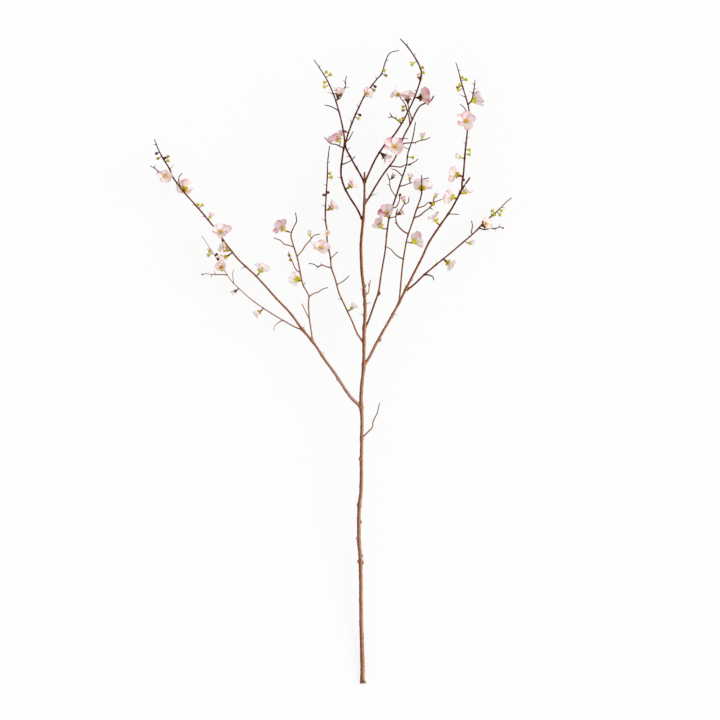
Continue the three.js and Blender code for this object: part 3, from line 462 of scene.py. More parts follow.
# ---- routes ----
def smooth_route(route, step):
    """Evenly spaced points along the centripetal curve through the route, in plan."""
    corners = np.array(route)
    padded = np.vstack([2 * corners[0] - corners[1], corners, 2 * corners[-1] - corners[-2]])
    share = np.linspace(0, 1, 24, endpoint=False)[:, None]
    fine = []
    for i in range(1, len(padded) - 2):
        before, start, end, after = padded[i - 1:i + 3]
        gaps = [math.sqrt(math.dist(a, b)) for a, b in ((before, start), (start, end), (end, after))]
        first = (start - before) / gaps[0] - (end - before) / (gaps[0] + gaps[1]) + (end - start) / gaps[1]
        second = (end - start) / gaps[1] - (after - start) / (gaps[1] + gaps[2]) + (after - end) / gaps[2]
        first, second = first * gaps[1], second * gaps[1]
        bend = 2 * start - 2 * end + first + second
        lean = -3 * start + 3 * end - 2 * first - second
        fine.append(start + first * share + lean * share ** 2 + bend * share ** 3)
    fine = np.vstack(fine + [corners[-1:]])
    run = run_along(fine)
    wanted = np.linspace(0, run[-1], max(3, round(run[-1] / step)) + 1)
    return np.column_stack([np.interp(wanted, run, fine[:, 0]), np.interp(wanted, run, fine[:, 1])])


def rising_route(route, step, root_height, top, bow):
    plan = smooth_route(route, step)
    share = shares(len(plan))
    height = root_height + (top - root_height) * share + bow * 4 * share * (1 - share)
    return np.hstack([plan, height])


def nearest(lines, x, y):
    """The nearest point of a family's centrelines in plan, with its distance, radius, line and run."""
    best = None
    for line in lines:
        points = line["points"]
        along = points[1:] - points[:-1]
        reach = (x - points[:-1, 0]) * along[:, 0] + (y - points[:-1, 1]) * along[:, 1]
        share = np.clip(reach / np.maximum(along[:, 0] ** 2 + along[:, 1] ** 2, 1e-9), 0, 1)
        spots = points[:-1] + share[:, None] * along
        distance = np.hypot(x - spots[:, 0], y - spots[:, 1])
        i = int(distance.argmin())
        if best is None or distance[i] < best["distance"]:
            radius = line["radii"][i] * (1 - share[i]) + line["radii"][i + 1] * share[i]
            run = (i + share[i]) * np.linalg.norm(along[i])
            best = {"point": spots[i], "distance": distance[i], "radius": radius, "line": line,
                    "run": run, "ahead": unit(along[i])}
    return best


# ---- layout: every centreline, and where things spring from it ----
FAMILIES = {}  # the centrelines of each limb: its own and then those of its twigs
BARK_TONES = {}  # how dark the bark of each limb is at its root and at its tip


def swell(root, share, width):
    """Marks a low swelling of the bark where something springs from it."""
    root["line"]["swellings"].append((root["run"], share, width))


def lay_line(name, points, radii, sides, parent_radius):
    if name not in LEAN_LIMBS:
        radii = radii * (1 + TIP_FULLNESS * np.clip((1.6 - radii) / 0.8, 0, 1))
    line = {"points": points, "radii": radii, "sides": sides, "collar": parent_radius, "swellings": []}
    FAMILIES.setdefault(name, []).append(line)


def lay_limb(name, parent, top, bow, tones, girth, route):
    BARK_TONES[name] = tones
    route = numbers(route)
    root_radius, root_height = 0.0, FIRST_HEIGHT
    if parent:
        root = nearest(FAMILIES[parent], *route[0])
        root_height, root_radius = root["point"][2], root["radius"]
        swell(root, LIMB_SWELLING, 2.5 * root_radius)
    points = rising_route(route, LIMB_STEP, root_height, top, bow)
    marks, girths = zip(*numbers(girth))
    radii = np.interp(np.linspace(0, 1, len(points)), marks, girths)
    lay_line(name, points, radii, LIMB_SIDES if parent else TRUNK_SIDES, root_radius)


def lay_twig(name, rise, thick, route):
    start, *others = numbers(route)
    root = nearest(FAMILIES[name], *start)
    swell(root, TWIG_SWELLING, 1.6 * root["radius"])
    height = root["point"][2]
    top = KNUCKLE_HEIGHT if rise == TO_TABLE else height + rise
    points = rising_route([root["point"][:2], *others], TWIG_STEP, height, top, 0)
    lay_line(name, points, np.linspace(thick, TWIG_TIP, len(points)), TWIG_SIDES, root["radius"])


def lay_all():
    for name, limb in LIMBS.items():
        lay_limb(name, *limb)
        for twig in TWIGS.get(name, []):
            lay_twig(name, *twig)
        for x, y, *_ in [row for table in (THORNS, BUDS, BLOOMS) for row in rows_of(table, name)]:
            root = nearest(FAMILIES[name], x, y)
            swell(root, SPRIG_SWELLING, 1.5 + root["radius"])


# ---- wood shapes ----
# Each wave of the bark: its height as a share of the radius, its length, and its lobes round the wood.
BARK_WAVES = ((0.04, 55, 1), (0.035, 23, 2), (0.045, 9, 3), (0.028, 4.5, 4))

# How each kind of tip closes: the narrowing of its shoulder and how far that stands out, in radii,
# the same of its top, and whether it shows pale end grain.
CAPS = {"point": (0.6, 0.9, 0.3, 1.6, 0.0), "cut": (0.9, 0.1, 0.9, 0.12, 1.0)}


def bark_relief(run, turn, seed):
    """Shares by which smooth bark stands in and out: long low ridges and short lumps."""
    dice = np.random.default_rng(seed)
    relief = np.zeros(np.broadcast(run, turn).shape)
    for size, length, lobes in BARK_WAVES:
        start, drift = dice.uniform(0, 2 * math.pi, 2)
        relief += size * np.sin(run / length * 2 * math.pi + lobes * turn + start)
        relief += 0.6 * size * np.sin(run / length * 3.7 - lobes * turn + drift)
    return relief


def swollen_radii(line, run):
    """The radii of a line, with the collar at its root and the swellings where things spring from it."""
    radii = line["radii"].copy()
    if line["collar"] > 0:
        radii *= 1 + COLLAR * np.exp(-run / (COLLAR_REACH * line["collar"]))
    for spot, share, width in line["swellings"]:
        radii *= 1 + share * np.exp(-((run - spot) / width) ** 2)
    return radii


def grow_tube(body, line, seed, end, age_of):
    """Bark around one centreline, whose tip ends in a point or is cut."""
    points, turn = line["points"], turns(line["sides"])
    run = run_along(points)
    radii = swollen_radii(line, run)
    reach = radii[:, None] * (1 + bark_relief(run[:, None], turn, seed))
    ahead = unit(np.gradient(points, axis=0))
    side = cross_directions(ahead[0])[0]
    rings = []
    for i, point in enumerate(points):
        side = unit(side - ahead[i] * side.dot(ahead[i]))
        rings.append(ring(point, reach[i], turn, side, np.cross(ahead[i], side)))
    narrowing, shoulder, top_narrowing, top, grain = CAPS[end]
    tip, out = points[-1], ahead[-1] * radii[-1]
    root_edge = points[0] + (rings[0] - points[0]) * 0.9 - ahead[0] * 0.1 * radii[0]
    shoulder_ring = tip + (rings[-1] - tip) * narrowing + out * shoulder
    top_ring = tip + (rings[-1] - tip) * narrowing * top_narrowing + out * top
    cut = np.zeros(len(points) + 3)
    cut[0] = 1.0
    cut[-2:] = grain
    body.add_rings([root_edge, *rings, shoulder_ring, top_ring], cut=cut[:, None],
                   age=np.pad(age_of(run / run[-1]), (1, 2), "edge")[:, None],
                   run=np.pad(run, (1, 2), "edge")[:, None], turn_x=np.cos(turn), turn_y=np.sin(turn))


def grow_round(body, spots, radii, sides, **marks):
    """A round shape along a line of spots, with a radius at each."""
    side, over = cross_directions(unit(spots[-1] - spots[0]))
    rings = [ring(spot, radius, turns(sides), side, over) for spot, radius in zip(spots, radii)]
    body.add_rings(rings, **marks)


def grow_spindle(body, middle, reach, radius, fullness, **marks):
    """A rounded lump that reaches this far both ways from its middle: a knot, a bud or a knuckle."""
    share = shares(9, -1)
    radii = radius * np.maximum(0.02, np.cos(share * math.pi / 2) ** fullness)
    grow_round(body, middle + share * reach, radii, SPINDLE_SIDES, **marks)


def grow_thorn(body, root, tip, radius, age):
    """A thorn, curved a little towards its tip and flared where it leaves the bark."""
    share, turn = shares(7), turns(THORN_SIDES)
    bend = cross_directions(unit(tip - root))[1] * 0.07 * np.linalg.norm(tip - root)
    spots = root + (tip - root) * share + bend * 4 * share * (1 - share)
    radii = radius * ((1 - share) ** 0.8 * 0.8 + 0.5 * np.exp(-9 * share)) + 0.05
    darker = min(age + 0.25, 1) - age
    grow_round(body, spots, radii, THORN_SIDES, age=age + darker * share, run=8 * share,
               turn_x=np.cos(turn), turn_y=np.sin(turn))


# ---- the wood, with its thorns and knots ----
TRUNK_DARKENS = (0.6, 0.9)  # the trunk's bark takes its darker tone between these shares of its length


def bark_age(name):
    """How dark the bark of a limb is, as a function of the share of its length."""
    root, tip = BARK_TONES[name]
    start, end = TRUNK_DARKENS if name == "trunk" else (0, 1)
    return lambda share: root + (tip - root) * np.clip((share - start) / (end - start), 0, 1)


def make_thorns(body, name):
    thorns = rows_of(THORNS, name) + rows_of(FINE_THORNS, name)
    for i, (x, y, tip_x, tip_y) in enumerate(thorns):
        root = nearest(FAMILIES[name], x, y)["point"]
        rise = math.hypot(tip_x - x, tip_y - y) * THORN_TILTS[i % len(THORN_TILTS)]
        grow_thorn(body, root, np.array([tip_x, tip_y, root[2] + rise]), THORN_RADIUS, THORN_AGE)


def make_knots(body, name):
    for x, y, radius in rows_of(KNOTS, name):
        root = nearest(FAMILIES[name], x, y)
        middle = np.array([x, y, root["point"][2]])
        reach = KNOT_LENGTH * radius * root["ahead"]
        grow_spindle(body, middle, reach, radius, 0.8, age=BARK_TONES[name][0] - KNOT_PALER)


def make_resting_knuckles(body, name):
    """The thick ends of the twigs that the branch rests on."""
    for twig, line in zip(TWIGS.get(name, []), FAMILIES[name][1:]):
        if twig[0] == TO_TABLE:
            reach = 2 * KNUCKLE_HEIGHT * UP
            grow_spindle(body, line["points"][-1], reach, KNUCKLE_RADIUS, 0.7, age=KNUCKLE_AGE)


def make_butt(body):
    """The trunk was broken off: splinters and torn bark stand round its foot."""
    dice = np.random.default_rng(SPLINTER_SEED)
    foot = FAMILIES["trunk"][0]["points"][0]
    for turn in turns(SPLINTERS):
        away = between(turn, RIGHT, UP)
        root = foot + away * 3.2 + TIPWARDS * dice.uniform(3.0, 6.0)
        tip = foot + away * dice.uniform(3.6, 8.2) - TIPWARDS * dice.uniform(-3.0, 4.5)
        grow_thorn(body, root, tip, SPLINTER_RADIUS, dice.uniform(0.6, 1.0))


def make_wood():
    body = Body()
    for seed, name in enumerate(LIMBS):
        for number, line in enumerate(FAMILIES[name]):
            end = "cut" if name in CUT_ENDS and number == 0 else "point"
            grow_tube(body, line, 100 * seed + number, end, bark_age(name))
        make_thorns(body, name)
        make_knots(body, name)
        make_resting_knuckles(body, name)
    make_butt(body)
    for part in body.points:
        part[:, 2] = np.maximum(part[:, 2], 0)  # nothing goes through the table
    body.build("wood_and_bark", BARK, ["wood"], "bark")


# ---- blooms ----
class Bloom:
    """The frame of one bloom: ahead is its axis, and out(turn) points away from the axis."""

    def __init__(self, name, x, y, heading, lift, reach, spread, pink, tone):
        root = nearest(FAMILIES[name], x, y)
        self.reach, self.pink, self.tone = reach, pink, tone
        self.ahead = turned(heading, lift)
        self.side, self.over = cross_directions(self.ahead)
        height = root["point"][2] + (0.8 * root["distance"] + 2) * math.sin(math.radians(lift))
        far = root["distance"] > 2
        self.foot = np.array([x, y, height]) if far else root["point"] + 2 * self.ahead
        self.root = root["point"]
        self.blush = BLUSHING.get((x, y))
        self.gold = 1.0 if (x, y) in GOLDEN else PALE_TUFT
        self.size = min(max(reach / FULL_REACH, SMALLEST_BLOOM), 1)
        self.spread = math.radians(spread)
        self.open = spread > OPEN_SPREAD
        self.cup = CUP_LENGTH * self.size
        self.seat = self.cup + SEAT_HEIGHT

    def pink_at(self, turn):
        """How pink the petal at this turn is. One petal of a blushing bloom is much pinker."""
        if self.blush is None:
            return self.pink
        towards = self.out(turn).dot(turned(self.blush, 0))
        return self.pink + BLUSH * max(towards - 0.6, 0) / 0.4

    def out(self, turn):
        return between(turn, self.side, self.over)

    def place(self, turn, radius, height):
        return self.foot + radius * self.out(turn) + height * self.ahead

    def ring_at(self, radius, height):
        middle = self.foot + height * self.ahead
        return ring(middle, radius, turns(BLOOM_SIDES), self.side, self.over)


def petal_width(share):
    """Half the width of a petal at a share of its length: a narrow claw, then a broad round blade."""
    rise = 0.24 + 0.76 * np.sin(np.minimum(share / PETAL_BROADEST, 1) * math.pi / 2) ** 1.25
    fall = (1 - (np.maximum(share - PETAL_BROADEST, 0) / 0.435) ** 2.3) ** 0.5
    return rise * fall


def petal_lift(bloom, half_width, cupping, length, along, across, dice):
    """How far a petal rises off its middle surface: it is cupped, overlapping, ruffled and curled."""
    phase, waves, depth = dice.uniform(0, 6.3), dice.uniform(3, 5.5), dice.uniform(0.05, 0.14)
    pinwheel = half_width * (0.2 if bloom.open else 0.42)
    cup = petal_width(along) * (cupping * across ** 2 + pinwheel * across)
    ruffle = np.sin(waves * along + 3.6 * across + phase) * np.abs(across) ** 1.6 * along
    crease = -0.05 * np.exp(-(across / 0.2) ** 2) * np.sin(along * math.pi)
    curl = dice.uniform(-0.26, 0.08) * length * np.maximum(along - 0.6, 0) * (1 - 0.4 * across ** 2)
    return cup + half_width * (depth * ruffle + crease) + curl


def grow_petal(body, bloom, turn, dice):
    half_width = 0.5 * bloom.reach * (0.97 if bloom.open else 0.76) * dice.uniform(0.88, 1.1)
    cupping = half_width * dice.uniform(0.2, 0.42)
    length = bloom.reach * dice.uniform(0.88, 1.08)
    along = shares(PETAL_ROWS)
    across = np.linspace(-1, 1, PETAL_COLUMNS)
    opening = bloom.spread * dice.uniform(0.74, 1.13)
    angles = opening * (0.62 + 1.35 * along - 1.1 * along ** 2)
    away = bloom.out(turn)
    forwards = between(angles, bloom.ahead, away)
    upright = between(angles, -away, bloom.ahead)
    claw = bloom.place(turn, 0.8 * CLAW_RADIUS * bloom.size, bloom.seat)
    middle = claw + np.cumsum(forwards * np.diff(along, axis=0, prepend=0.0) * length, axis=0)
    level = np.cross(bloom.ahead, away)
    twist = dice.uniform(-0.3, 0.3) * along
    sideways = between(twist, level, upright)
    inwards = between(twist, upright, -level)
    lift = petal_lift(bloom, half_width, cupping, length, along, across, dice)
    notch = 0.07 * length * np.exp(-((across - dice.uniform(-0.2, 0.2)) / 0.24) ** 2) * along ** 6
    spread = half_width * petal_width(along) * across
    face = (middle[:, None] + spread[..., None] * sideways[:, None] + lift[..., None] * inwards[:, None]
            - notch[..., None] * forwards[:, None])
    pink = np.clip(bloom.pink_at(turn) + dice.uniform(-0.12, 0.16), -0.3, 1)
    flush = np.clip(0.5 + 0.5 * dice.choice([-1.0, 1.0]) * across, 0, 1) ** 1.7 * along ** 0.6
    body.add_blade(face, -PETAL_THICK * inwards[:, None], along=along, across=across, pink=pink,
                   flush=flush)


def make_petals(name, number, bloom, seed):
    """Five petals on the small seat that they spring from."""
    body, dice = Body(), np.random.default_rng(seed)
    for turn in turns(PETALS):
        grow_petal(body, bloom, turn + dice.uniform(-0.06, 0.06), dice)
    disc = [bloom.ring_at(radius * bloom.size, bloom.seat + height) for radius, height in DISC]
    body.add_rings(disc, along=0.02, pink=bloom.pink)
    body.build(f"{name}_petals_{number}", PETAL, [f"{name}_bloom_{number}"], "petals")


# ---- stamens ----
def grow_anther(body, middle, ahead, gold):
    """The lump at the end of a filament, a little flatter on one side."""
    share = shares(5)
    flat = np.where(np.arange(ANTHER_SIDES) < 4, 1.0, 0.85)
    radii = ANTHER_RADIUS * np.maximum(np.sin(math.pi * share), 0.04) * flat
    spots = middle + ahead * ANTHER_RADIUS * ANTHER_LENGTH * (share - 0.5)
    grow_round(body, spots, radii, ANTHER_SIDES, anther=1.0, gold=gold)


def make_stamens(name, number, bloom, seed):
    body, dice = Body(), np.random.default_rng(seed)
    count, opening = TUFT_OPEN if bloom.open else TUFT_SHUT
    share = shares(4)
    for k in range(count):
        turn = 2 * math.pi * k * GOLDEN_TURN
        inner = (k + 0.5) / count
        foot = TUFT_FOOT * inner * bloom.size
        top = 0.6 + TUFT_TOP * opening * inner * bloom.size
        start = bloom.place(turn, foot, bloom.seat + 0.3)
        tall = TUFT_HEIGHT * bloom.reach * dice.uniform(0.78, 1.0) * (1.05 - 0.2 * inner)
        path = start + bloom.out(turn) * (top - foot) * share ** 1.5 + bloom.ahead * tall * share
        grow_round(body, path, [FILAMENT_RADIUS] * len(path), FILAMENT_SIDES)
        nod = unit(bloom.ahead + 0.5 * bloom.out(turn + dice.uniform(-1, 1)))
        grow_anther(body, path[-1], nod, bloom.gold)
    tuft = f"{name}_stamens_{number}"
    body.build(f"{name}_filaments_{number}", STAMEN, [tuft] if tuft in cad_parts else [], "stamens")


# ---- calyces and buds ----
def grow_scale(body, root, forwards, inwards, length, half_width, tone, curve):
    """A small pointed green blade with two faces: a sepal, or a scale of a bud."""
    along = shares(8)
    across = np.linspace(-1, 1, 5)
    sideways = np.cross(forwards, inwards)
    width = half_width * np.sin(np.clip(along * 0.84 + 0.16, 0, 0.995) * math.pi) ** 0.6
    middle = root + along * length * forwards + curve * length * along ** 2 * inwards
    lift = 0.3 * width * across ** 2
    face = middle[:, None] + (width * across)[..., None] * sideways + lift[..., None] * inwards
    behind = np.broadcast_to(-SCALE_THICK * inwards, (len(along), 1, 3))
    body.add_blade(face, behind, tone=tone, along=0.5 + 0.5 * along)


def grow_cup(body, bloom, fat):
    """A stalk that widens into a ribbed cup, which is closed on top. along runs from 0 to 0.5."""
    turn = turns(BLOOM_SIDES)
    foot = CUP_FOOT * bloom.size * fat
    rings, along = [], []
    for share in np.linspace(0, 1, 4, endpoint=False):
        spot = bloom.root + (bloom.foot - bloom.root) * share
        rings.append(ring(spot, STALK + (foot - STALK) * share, turn, bloom.side, bloom.over))
        along.append(0.1 * share)
    for share in np.linspace(0, 1, 8):
        radius = CUP_FOOT + (CUP_TOP - CUP_FOOT) * math.sin(share * math.pi / 2) ** 1.3
        rib = 1 + 0.05 * np.cos(PETALS * turn) * share
        rings.append(bloom.ring_at(radius * bloom.size * rib * fat, bloom.cup * share))
        along.append(0.1 + 0.4 * share)
    rings.append(bloom.ring_at(0.3, bloom.cup + 0.2))
    along.append(0.5)
    body.add_rings(rings, tone=bloom.tone, along=np.array(along)[:, None])


def make_calyx(name, number, bloom):
    """A cup on its stalk, with five sepals between the petals."""
    body = Body()
    fat = 1 + DARK_CUP_FATTER * bloom.tone
    grow_cup(body, bloom, fat)
    scale = bloom.size * fat
    tone = 0.8 * bloom.tone ** 1.5  # sepals are greener than their cup
    bend = min(bloom.spread + SEPAL_BACK, SEPAL_LIMIT)
    for angle in turns(PETALS) + math.pi / PETALS:
        away = bloom.out(angle)
        forwards = between(bend, bloom.ahead, away)
        inwards = between(bend, -away, bloom.ahead)
        root = bloom.place(angle, 0.85 * CUP_TOP * bloom.size, bloom.cup - 0.6)
        grow_scale(body, root, forwards, inwards, SEPAL_LENGTH * scale, SEPAL_HALF_WIDTH * scale,
                   tone, 0.12)
    body.build(f"{name}_calyx_{number}", CALYX, [], None)


def grow_bud(body, name, x, y, tone, seed):
    """An ovoid bud on a short stalk, wrapped in a few pointed scales. A greener bud is further open."""
    dice = np.random.default_rng(seed)
    root = nearest(FAMILIES[name], x, y)["point"]
    middle = np.array([x, y, root[2] + BUD_LIFT])
    ahead = unit(middle - root)
    heel = middle - BUD_TIP * ahead
    side, over = cross_directions(ahead)
    grow_bud_stalk(body, root, heel + 0.6 * ahead, tone)
    opened = 1 - tone
    radius = BUD_RADIUS * (1 - 0.25 * opened)
    grow_spindle(body, middle, BUD_TIP * ahead, radius, 0.75, tone=tone, along=0.45)
    flare = 0.22 + 0.45 * opened
    for k in range(BUD_SCALES):
        turn = 2 * math.pi * (k + dice.uniform(0, 0.3)) / BUD_SCALES
        away = between(turn, side, over)
        length = (dice.uniform(4.4, 5.8) + 1.8 * opened) * LONG_BUDS.get((x, y), 1.0)
        grow_scale(body, heel + 0.5 * ahead + 0.9 * away, unit(ahead + flare * away),
                   unit(flare * ahead - away), length, 1.6 + 0.5 * opened,
                   min(tone + dice.uniform(0, 0.35), 1), 0.06)


def grow_bud_stalk(body, start, end, tone):
    share = shares(4)
    grow_round(body, start + (end - start) * share, 0.95 - 0.35 * np.sin(math.pi * share), 8,
               tone=max(tone, 0.4), along=np.array([[0], [0.03], [0.07], [0.12]]))


def dress_limb(name, first_seed):
    """The blooms, calyces and buds of one limb."""
    for number, row in enumerate(rows_of(BLOOMS, name), 1):
        bloom = Bloom(name, *row)
        make_petals(name, number, bloom, first_seed + number)
        make_stamens(name, number, bloom, first_seed + 50 + number)
        make_calyx(name, number, bloom)
    buds = Body()
    for number, (x, y, tone) in enumerate(rows_of(BUDS, name)):
        grow_bud(buds, name, x, y, tone, first_seed + 80 + number)
    if buds.count:
        buds.build(f"{name}_buds", CALYX, [], None)


# ---- materials ----
def tint(red, green, blue):
    """A colour given as it shows on a screen, from 0 to 255, as the linear one that shaders take."""
    parts = [part / 255 for part in (red, green, blue)]
    return [part / 12.92 if part < 0.04 else ((part + 0.055) / 1.055) ** 2.4 for part in parts] + [1.0]


class Shader:
    """A node material under construction, around one Principled surface."""

    def __init__(self, name, roughness, gloss):
        self.material = bpy.data.materials.new(name)
        self.material.use_nodes = True
        self.tree = self.material.node_tree
        self.surface = self.tree.nodes["Principled BSDF"]
        self.give("Roughness", roughness)
        self.give("Specular IOR Level", gloss)
        self.place = self.node("TexCoord", "Object", {})

    def feed(self, socket, value):
        if isinstance(value, bpy.types.NodeSocket):
            self.tree.links.new(value, socket)
        else:
            socket.default_value = value

    def give(self, name, value):
        """Feeds one input of the surface."""
        self.feed(self.surface.inputs[name], value)

    def node(self, kind, output, inputs, **settings):
        """One output of a new node, whose inputs take these values by their names or numbers."""
        made = self.tree.nodes.new("ShaderNode" + kind)
        for key, value in settings.items():
            setattr(made, key, value)
        for key, value in inputs.items():
            self.feed(made.inputs[key], value)
        return made.outputs[output]

    def mark(self, name):
        return self.node("Attribute", "Fac", {}, attribute_name=name)

    def maths(self, operation, first, second=0.0, clamp=False):
        return self.node("Math", 0, {0: first, 1: second}, operation=operation, use_clamp=clamp)

    def total(self, *parts):
        """Adds weighted numbers, given as (socket, weight), and keeps the sum between 0 and 1."""
        result = 0.0
        for i, (socket, weight) in enumerate(parts):
            term = self.maths("MULTIPLY", socket, weight)
            result = self.maths("ADD", result, term, clamp=i == len(parts) - 1)
        return result

    def noise(self, scale, detail=3.0, vector=None):
        vector = self.place if vector is None else vector
        return self.node("TexNoise", "Fac", {"Vector": vector, "Scale": scale, "Detail": detail})

    def mix(self, share, first, second):
        return self.node("Mix", 2, {0: share, 6: first, 7: second}, data_type="RGBA")

    def ramp(self, share, *stops):
        """Colours by a number. Each stop is a share, red, green and blue."""
        made = self.tree.nodes.new("ShaderNodeValToRGB")
        bands = made.color_ramp.elements
        while len(bands) < len(stops):
            bands.new(0.5)
        for band, (at, *shown) in zip(bands, stops):
            band.position = at
            band.color = tint(*shown)
        self.feed(made.inputs[0], share)
        return made.outputs[0]

    def range(self, value, low, high, to_low=0.0, to_high=1.0):
        inputs = dict(enumerate((value, low, high, to_low, to_high)))
        return self.node("MapRange", 0, inputs, clamp=True)

    def bump(self, height, strength, distance):
        inputs = {"Height": height, "Strength": strength, "Distance": distance}
        self.give("Normal", self.node("Bump", 0, inputs))


def bark_tones(shader, streaks):
    """Tan and streaked when old, dark red brown when young, with painted light (paler tan) on the side of
    each limb towards the key light and painted shade (darker) on the far side.
    """
    side = shader.mark("turn_x")
    age = shader.total((shader.mark("age"), 1.0), (shader.noise(38.0, 4.0), 0.3), (0.15, -1.0))
    bark = shader.ramp(age, (0.0, 190, 147, 134), (0.3, 152, 95, 62), (0.52, 136, 73, 34),
                       (0.7, 124, 48, 8), (0.86, 98, 30, 1), (1.0, 70, 18, 1))
    # painted light: the side of each limb towards the key light on the right is mixed towards a paler, lit
    # tan
    painted_light_share = shader.maths("MULTIPLY", shader.range(side, -0.1, 0.6, 0.0, 0.8), shader.range(age, 0.85, 0.35))
    painted_lit_bark = shader.ramp(age, (0.0, 208, 170, 156), (0.3, 204, 160, 124))
    bark_with_painted_light = shader.mix(painted_light_share, bark, painted_lit_bark)
    # painted shade: the side of each limb away from the key light is darkened towards dark red brown
    bark_with_painted_shade = shader.mix(shader.range(side, 0.4, -0.9, 0.0, 0.6), bark_with_painted_light, tint(72, 24, 3))
    dark = shader.mix(shader.range(streaks, 0.5, 0.66, 0.0, 0.62), bark_with_painted_shade, tint(54, 15, 1))
    return shader.mix(shader.range(streaks, 0.32, 0.46, 0.35, 0.0), dark, tint(190, 116, 60))


def bark_material():
    """Smooth bark with pale pores, and pale end grain where it is cut."""
    shader = Shader("quince_bark", 0.8, 0.02)
    run = shader.maths("MULTIPLY", shader.mark("run"), 0.06)
    spots = {0: shader.mark("turn_x"), 1: shader.mark("turn_y"), 2: run}
    streaks = shader.noise(3.2, 5.0, shader.node("CombineXYZ", 0, spots))
    pore = shader.node("TexVoronoi", "Distance", {"Vector": shader.place, "Scale": 420.0})
    spotted = shader.mix(shader.range(pore, 0.1, 0.22, 0.3, 0.0), bark_tones(shader, streaks),
                         tint(176, 108, 62))
    wood = shader.mix(shader.noise(1500.0), tint(214, 176, 128), tint(168, 116, 72))
    shader.give("Base Color", shader.mix(shader.mark("cut"), spotted, wood))
    shader.give("Roughness", shader.range(streaks, 0.3, 0.7, 0.5, 0.82))
    shader.bump(shader.total((streaks, 0.6), (shader.noise(900.0), 0.3), (pore, 0.2)), 0.7, 0.0006)
    return shader.material


def petal_material():
    """Thin petals: near white inside, rosy towards the edges and along fine veins."""
    shader = Shader("quince_petal", 0.55, 0.2)
    along, across = shader.mark("along"), shader.mark("across")
    blotches = shader.noise(75.0, 2.0)
    wander = shader.maths("MULTIPLY", shader.noise(420.0), 2.6)
    fan = shader.maths("ADD", shader.maths("MULTIPLY", across, 21.0), wander)
    veins = shader.range(shader.maths("SINE", fan), 0.55, 1.0)
    fading = shader.maths("MULTIPLY", veins, shader.range(along, 0.95, 0.1, 0.2, 1.0))
    side = shader.maths("POWER", shader.maths("ABSOLUTE", across), 4.0)
    end = shader.maths("POWER", along, 4.0)
    rosy = shader.total((shader.mark("pink"), 0.66), (shader.mark("flush"), 0.46), (side, 0.12),
                        (end, 0.18), (blotches, 0.2), (fading, 0.18), (shader.mark("back"), 0.12),
                        (0.2, -1.0))
    blade = shader.ramp(rosy, (0.0, 249, 243, 240), (0.25, 243, 228, 227), (0.5, 235, 200, 202),
                        (0.75, 222, 148, 158), (1.0, 200, 84, 108))
    throat = shader.range(along, 0.42, 0.04, 0.0, 0.65)
    shader.give("Base Color", shader.mix(throat, blade, tint(246, 232, 176)))
    shader.bump(shader.total((veins, 0.7), (blotches, 0.3)), 0.2, 0.0002)
    return shader.material


def stamen_material():
    """Pale yellow threads that end in golden, grainy anthers."""
    shader = Shader("quince_stamen", 0.65, 0.2)
    pollen = shader.noise(1800.0, 2.0)
    thread = shader.mix(pollen, tint(240, 226, 150), tint(226, 190, 96))
    pale = shader.ramp(pollen, (0.3, 226, 182, 92), (0.55, 240, 212, 132), (0.75, 250, 236, 184))
    deep = shader.ramp(pollen, (0.3, 222, 146, 16), (0.55, 244, 182, 30), (0.75, 255, 214, 84))
    anther = shader.mix(shader.mark("gold"), pale, deep)
    shader.give("Base Color", shader.mix(shader.mark("anther"), thread, anther))
    shader.bump(pollen, 0.6, 0.0003)
    return shader.material


def calyx_material():
    """Waxy green scales, brown or dark red where the tone and the foot of the cup ask for it."""
    shader = Shader("quince_calyx", 0.42, 0.05)
    along = shader.mark("along")
    blotches, grain = shader.noise(300.0, 4.0), shader.noise(1300.0, 2.0)
    foot, point = shader.range(along, 0.26, 0.08), shader.range(along, 0.9, 1.0)
    shade = shader.total((shader.mark("tone"), 0.74), (foot, 0.62), (point, 0.2), (blotches, 0.3),
                         (0.15, -1.0))
    green = shader.ramp(shade, (0.0, 214, 202, 46), (0.3, 188, 168, 18), (0.5, 146, 104, 14),
                        (0.72, 98, 40, 10), (1.0, 40, 11, 2))
    shader.give("Base Color", green)
    shader.give("Roughness", shader.range(grain, 0.3, 0.7, 0.45, 0.65))
    shader.bump(shader.total((grain, 0.5), (blotches, 0.5)), 0.5, 0.0003)
    return shader.material


def table_material():
    """A pale light table: most of its brightness is its own glow, so shadows on it stay faint."""
    shader = Shader("light_table", 0.9, 0.0)
    shader.give("Base Color", shader.mix(shader.noise(60.0, 2.0), tint(108, 108, 108), tint(112, 112, 112)))
    shader.give("Emission Color", (1, 1, 1, 1))
    shader.give("Emission Strength", TABLE_GLOW)
    return shader.material


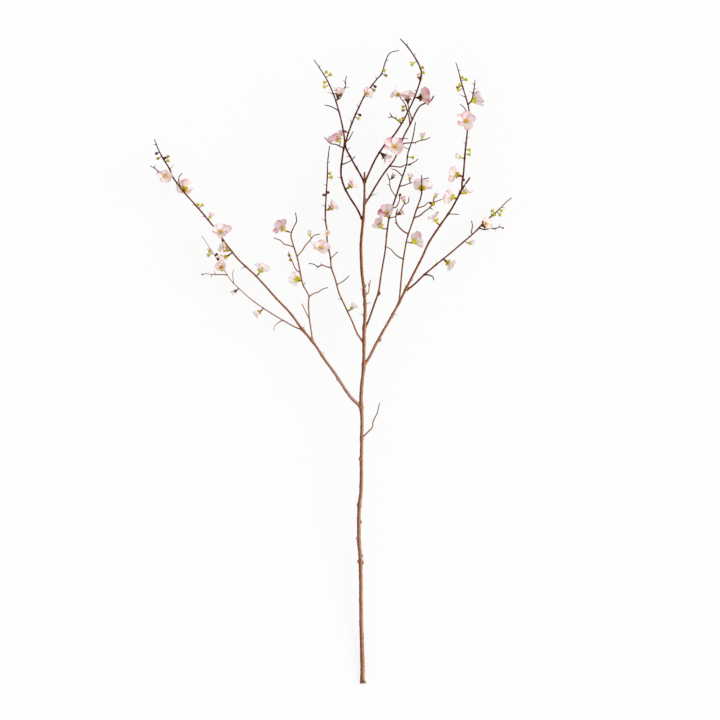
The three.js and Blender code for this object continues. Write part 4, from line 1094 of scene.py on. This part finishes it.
# ---- table, light and camera ----
MM_PER_PIXEL = 2.0
IMAGE_SIZE = 720
IMAGE_MIDDLE = (0.05802, 0.00193)  # where the middle of the picture falls, in metres
CAMERA_HEIGHT = 3.0
TABLE_REACH = 4.0  # from its middle to each side
TABLE_DROP = 0.0003  # keeps the table just below what lies on it
TABLE_GLOW = 0.815
DOME_STRENGTH = 0.82
KEY_STRENGTH, KEY_BREADTH = 1.4, math.radians(40)


def make_table():
    corners = [(x * TABLE_REACH, y * TABLE_REACH, 0) for x, y in ((-1, -1), (1, -1), (1, 1), (-1, 1))]
    mesh = bpy.data.meshes.new("table_top")
    mesh.from_pydata(corners, [], [(0, 1, 2, 3)])
    mesh.materials.append(table_material())
    table = put("table_top", mesh)
    table.location.z = -TABLE_DROP


def make_key_light():
    """A broad soft light, high on the right, that is as strong all over the table."""
    lamp = bpy.data.lights.new("key", "SUN")
    lamp.energy = KEY_STRENGTH
    lamp.angle = KEY_BREADTH
    made = put("key", lamp)
    made.rotation_euler = (math.radians(-12), math.radians(50), 0)
    made.location = (1.5, 0.4, 2.0)


def make_studio():
    """A white dome all round, and the key light."""
    world = bpy.data.worlds.new("studio")
    world.use_nodes = True
    dome = world.node_tree.nodes["Background"].inputs
    dome["Color"].default_value = (1, 1, 1, 1)
    dome["Strength"].default_value = DOME_STRENGTH
    bpy.context.scene.world = world
    bpy.context.scene.view_settings.view_transform = "Standard"
    make_key_light()


def make_camera():
    """Straight down on the table, without perspective."""
    lens = bpy.data.cameras.new("camera")
    lens.type = "ORTHO"
    lens.ortho_scale = IMAGE_SIZE * MM_PER_PIXEL * MM
    camera = put("camera", lens)
    camera.location = (*IMAGE_MIDDLE, CAMERA_HEIGHT)
    bpy.context.scene.camera = camera


# ---- assembly ----
BARK = bark_material()
PETAL = petal_material()
STAMEN = stamen_material()
CALYX = calyx_material()

make_studio()
make_camera()
make_table()
lay_all()
make_wood()
for number, name in enumerate(LIMBS):
    dress_limb(name, 1000 * (number + 1))
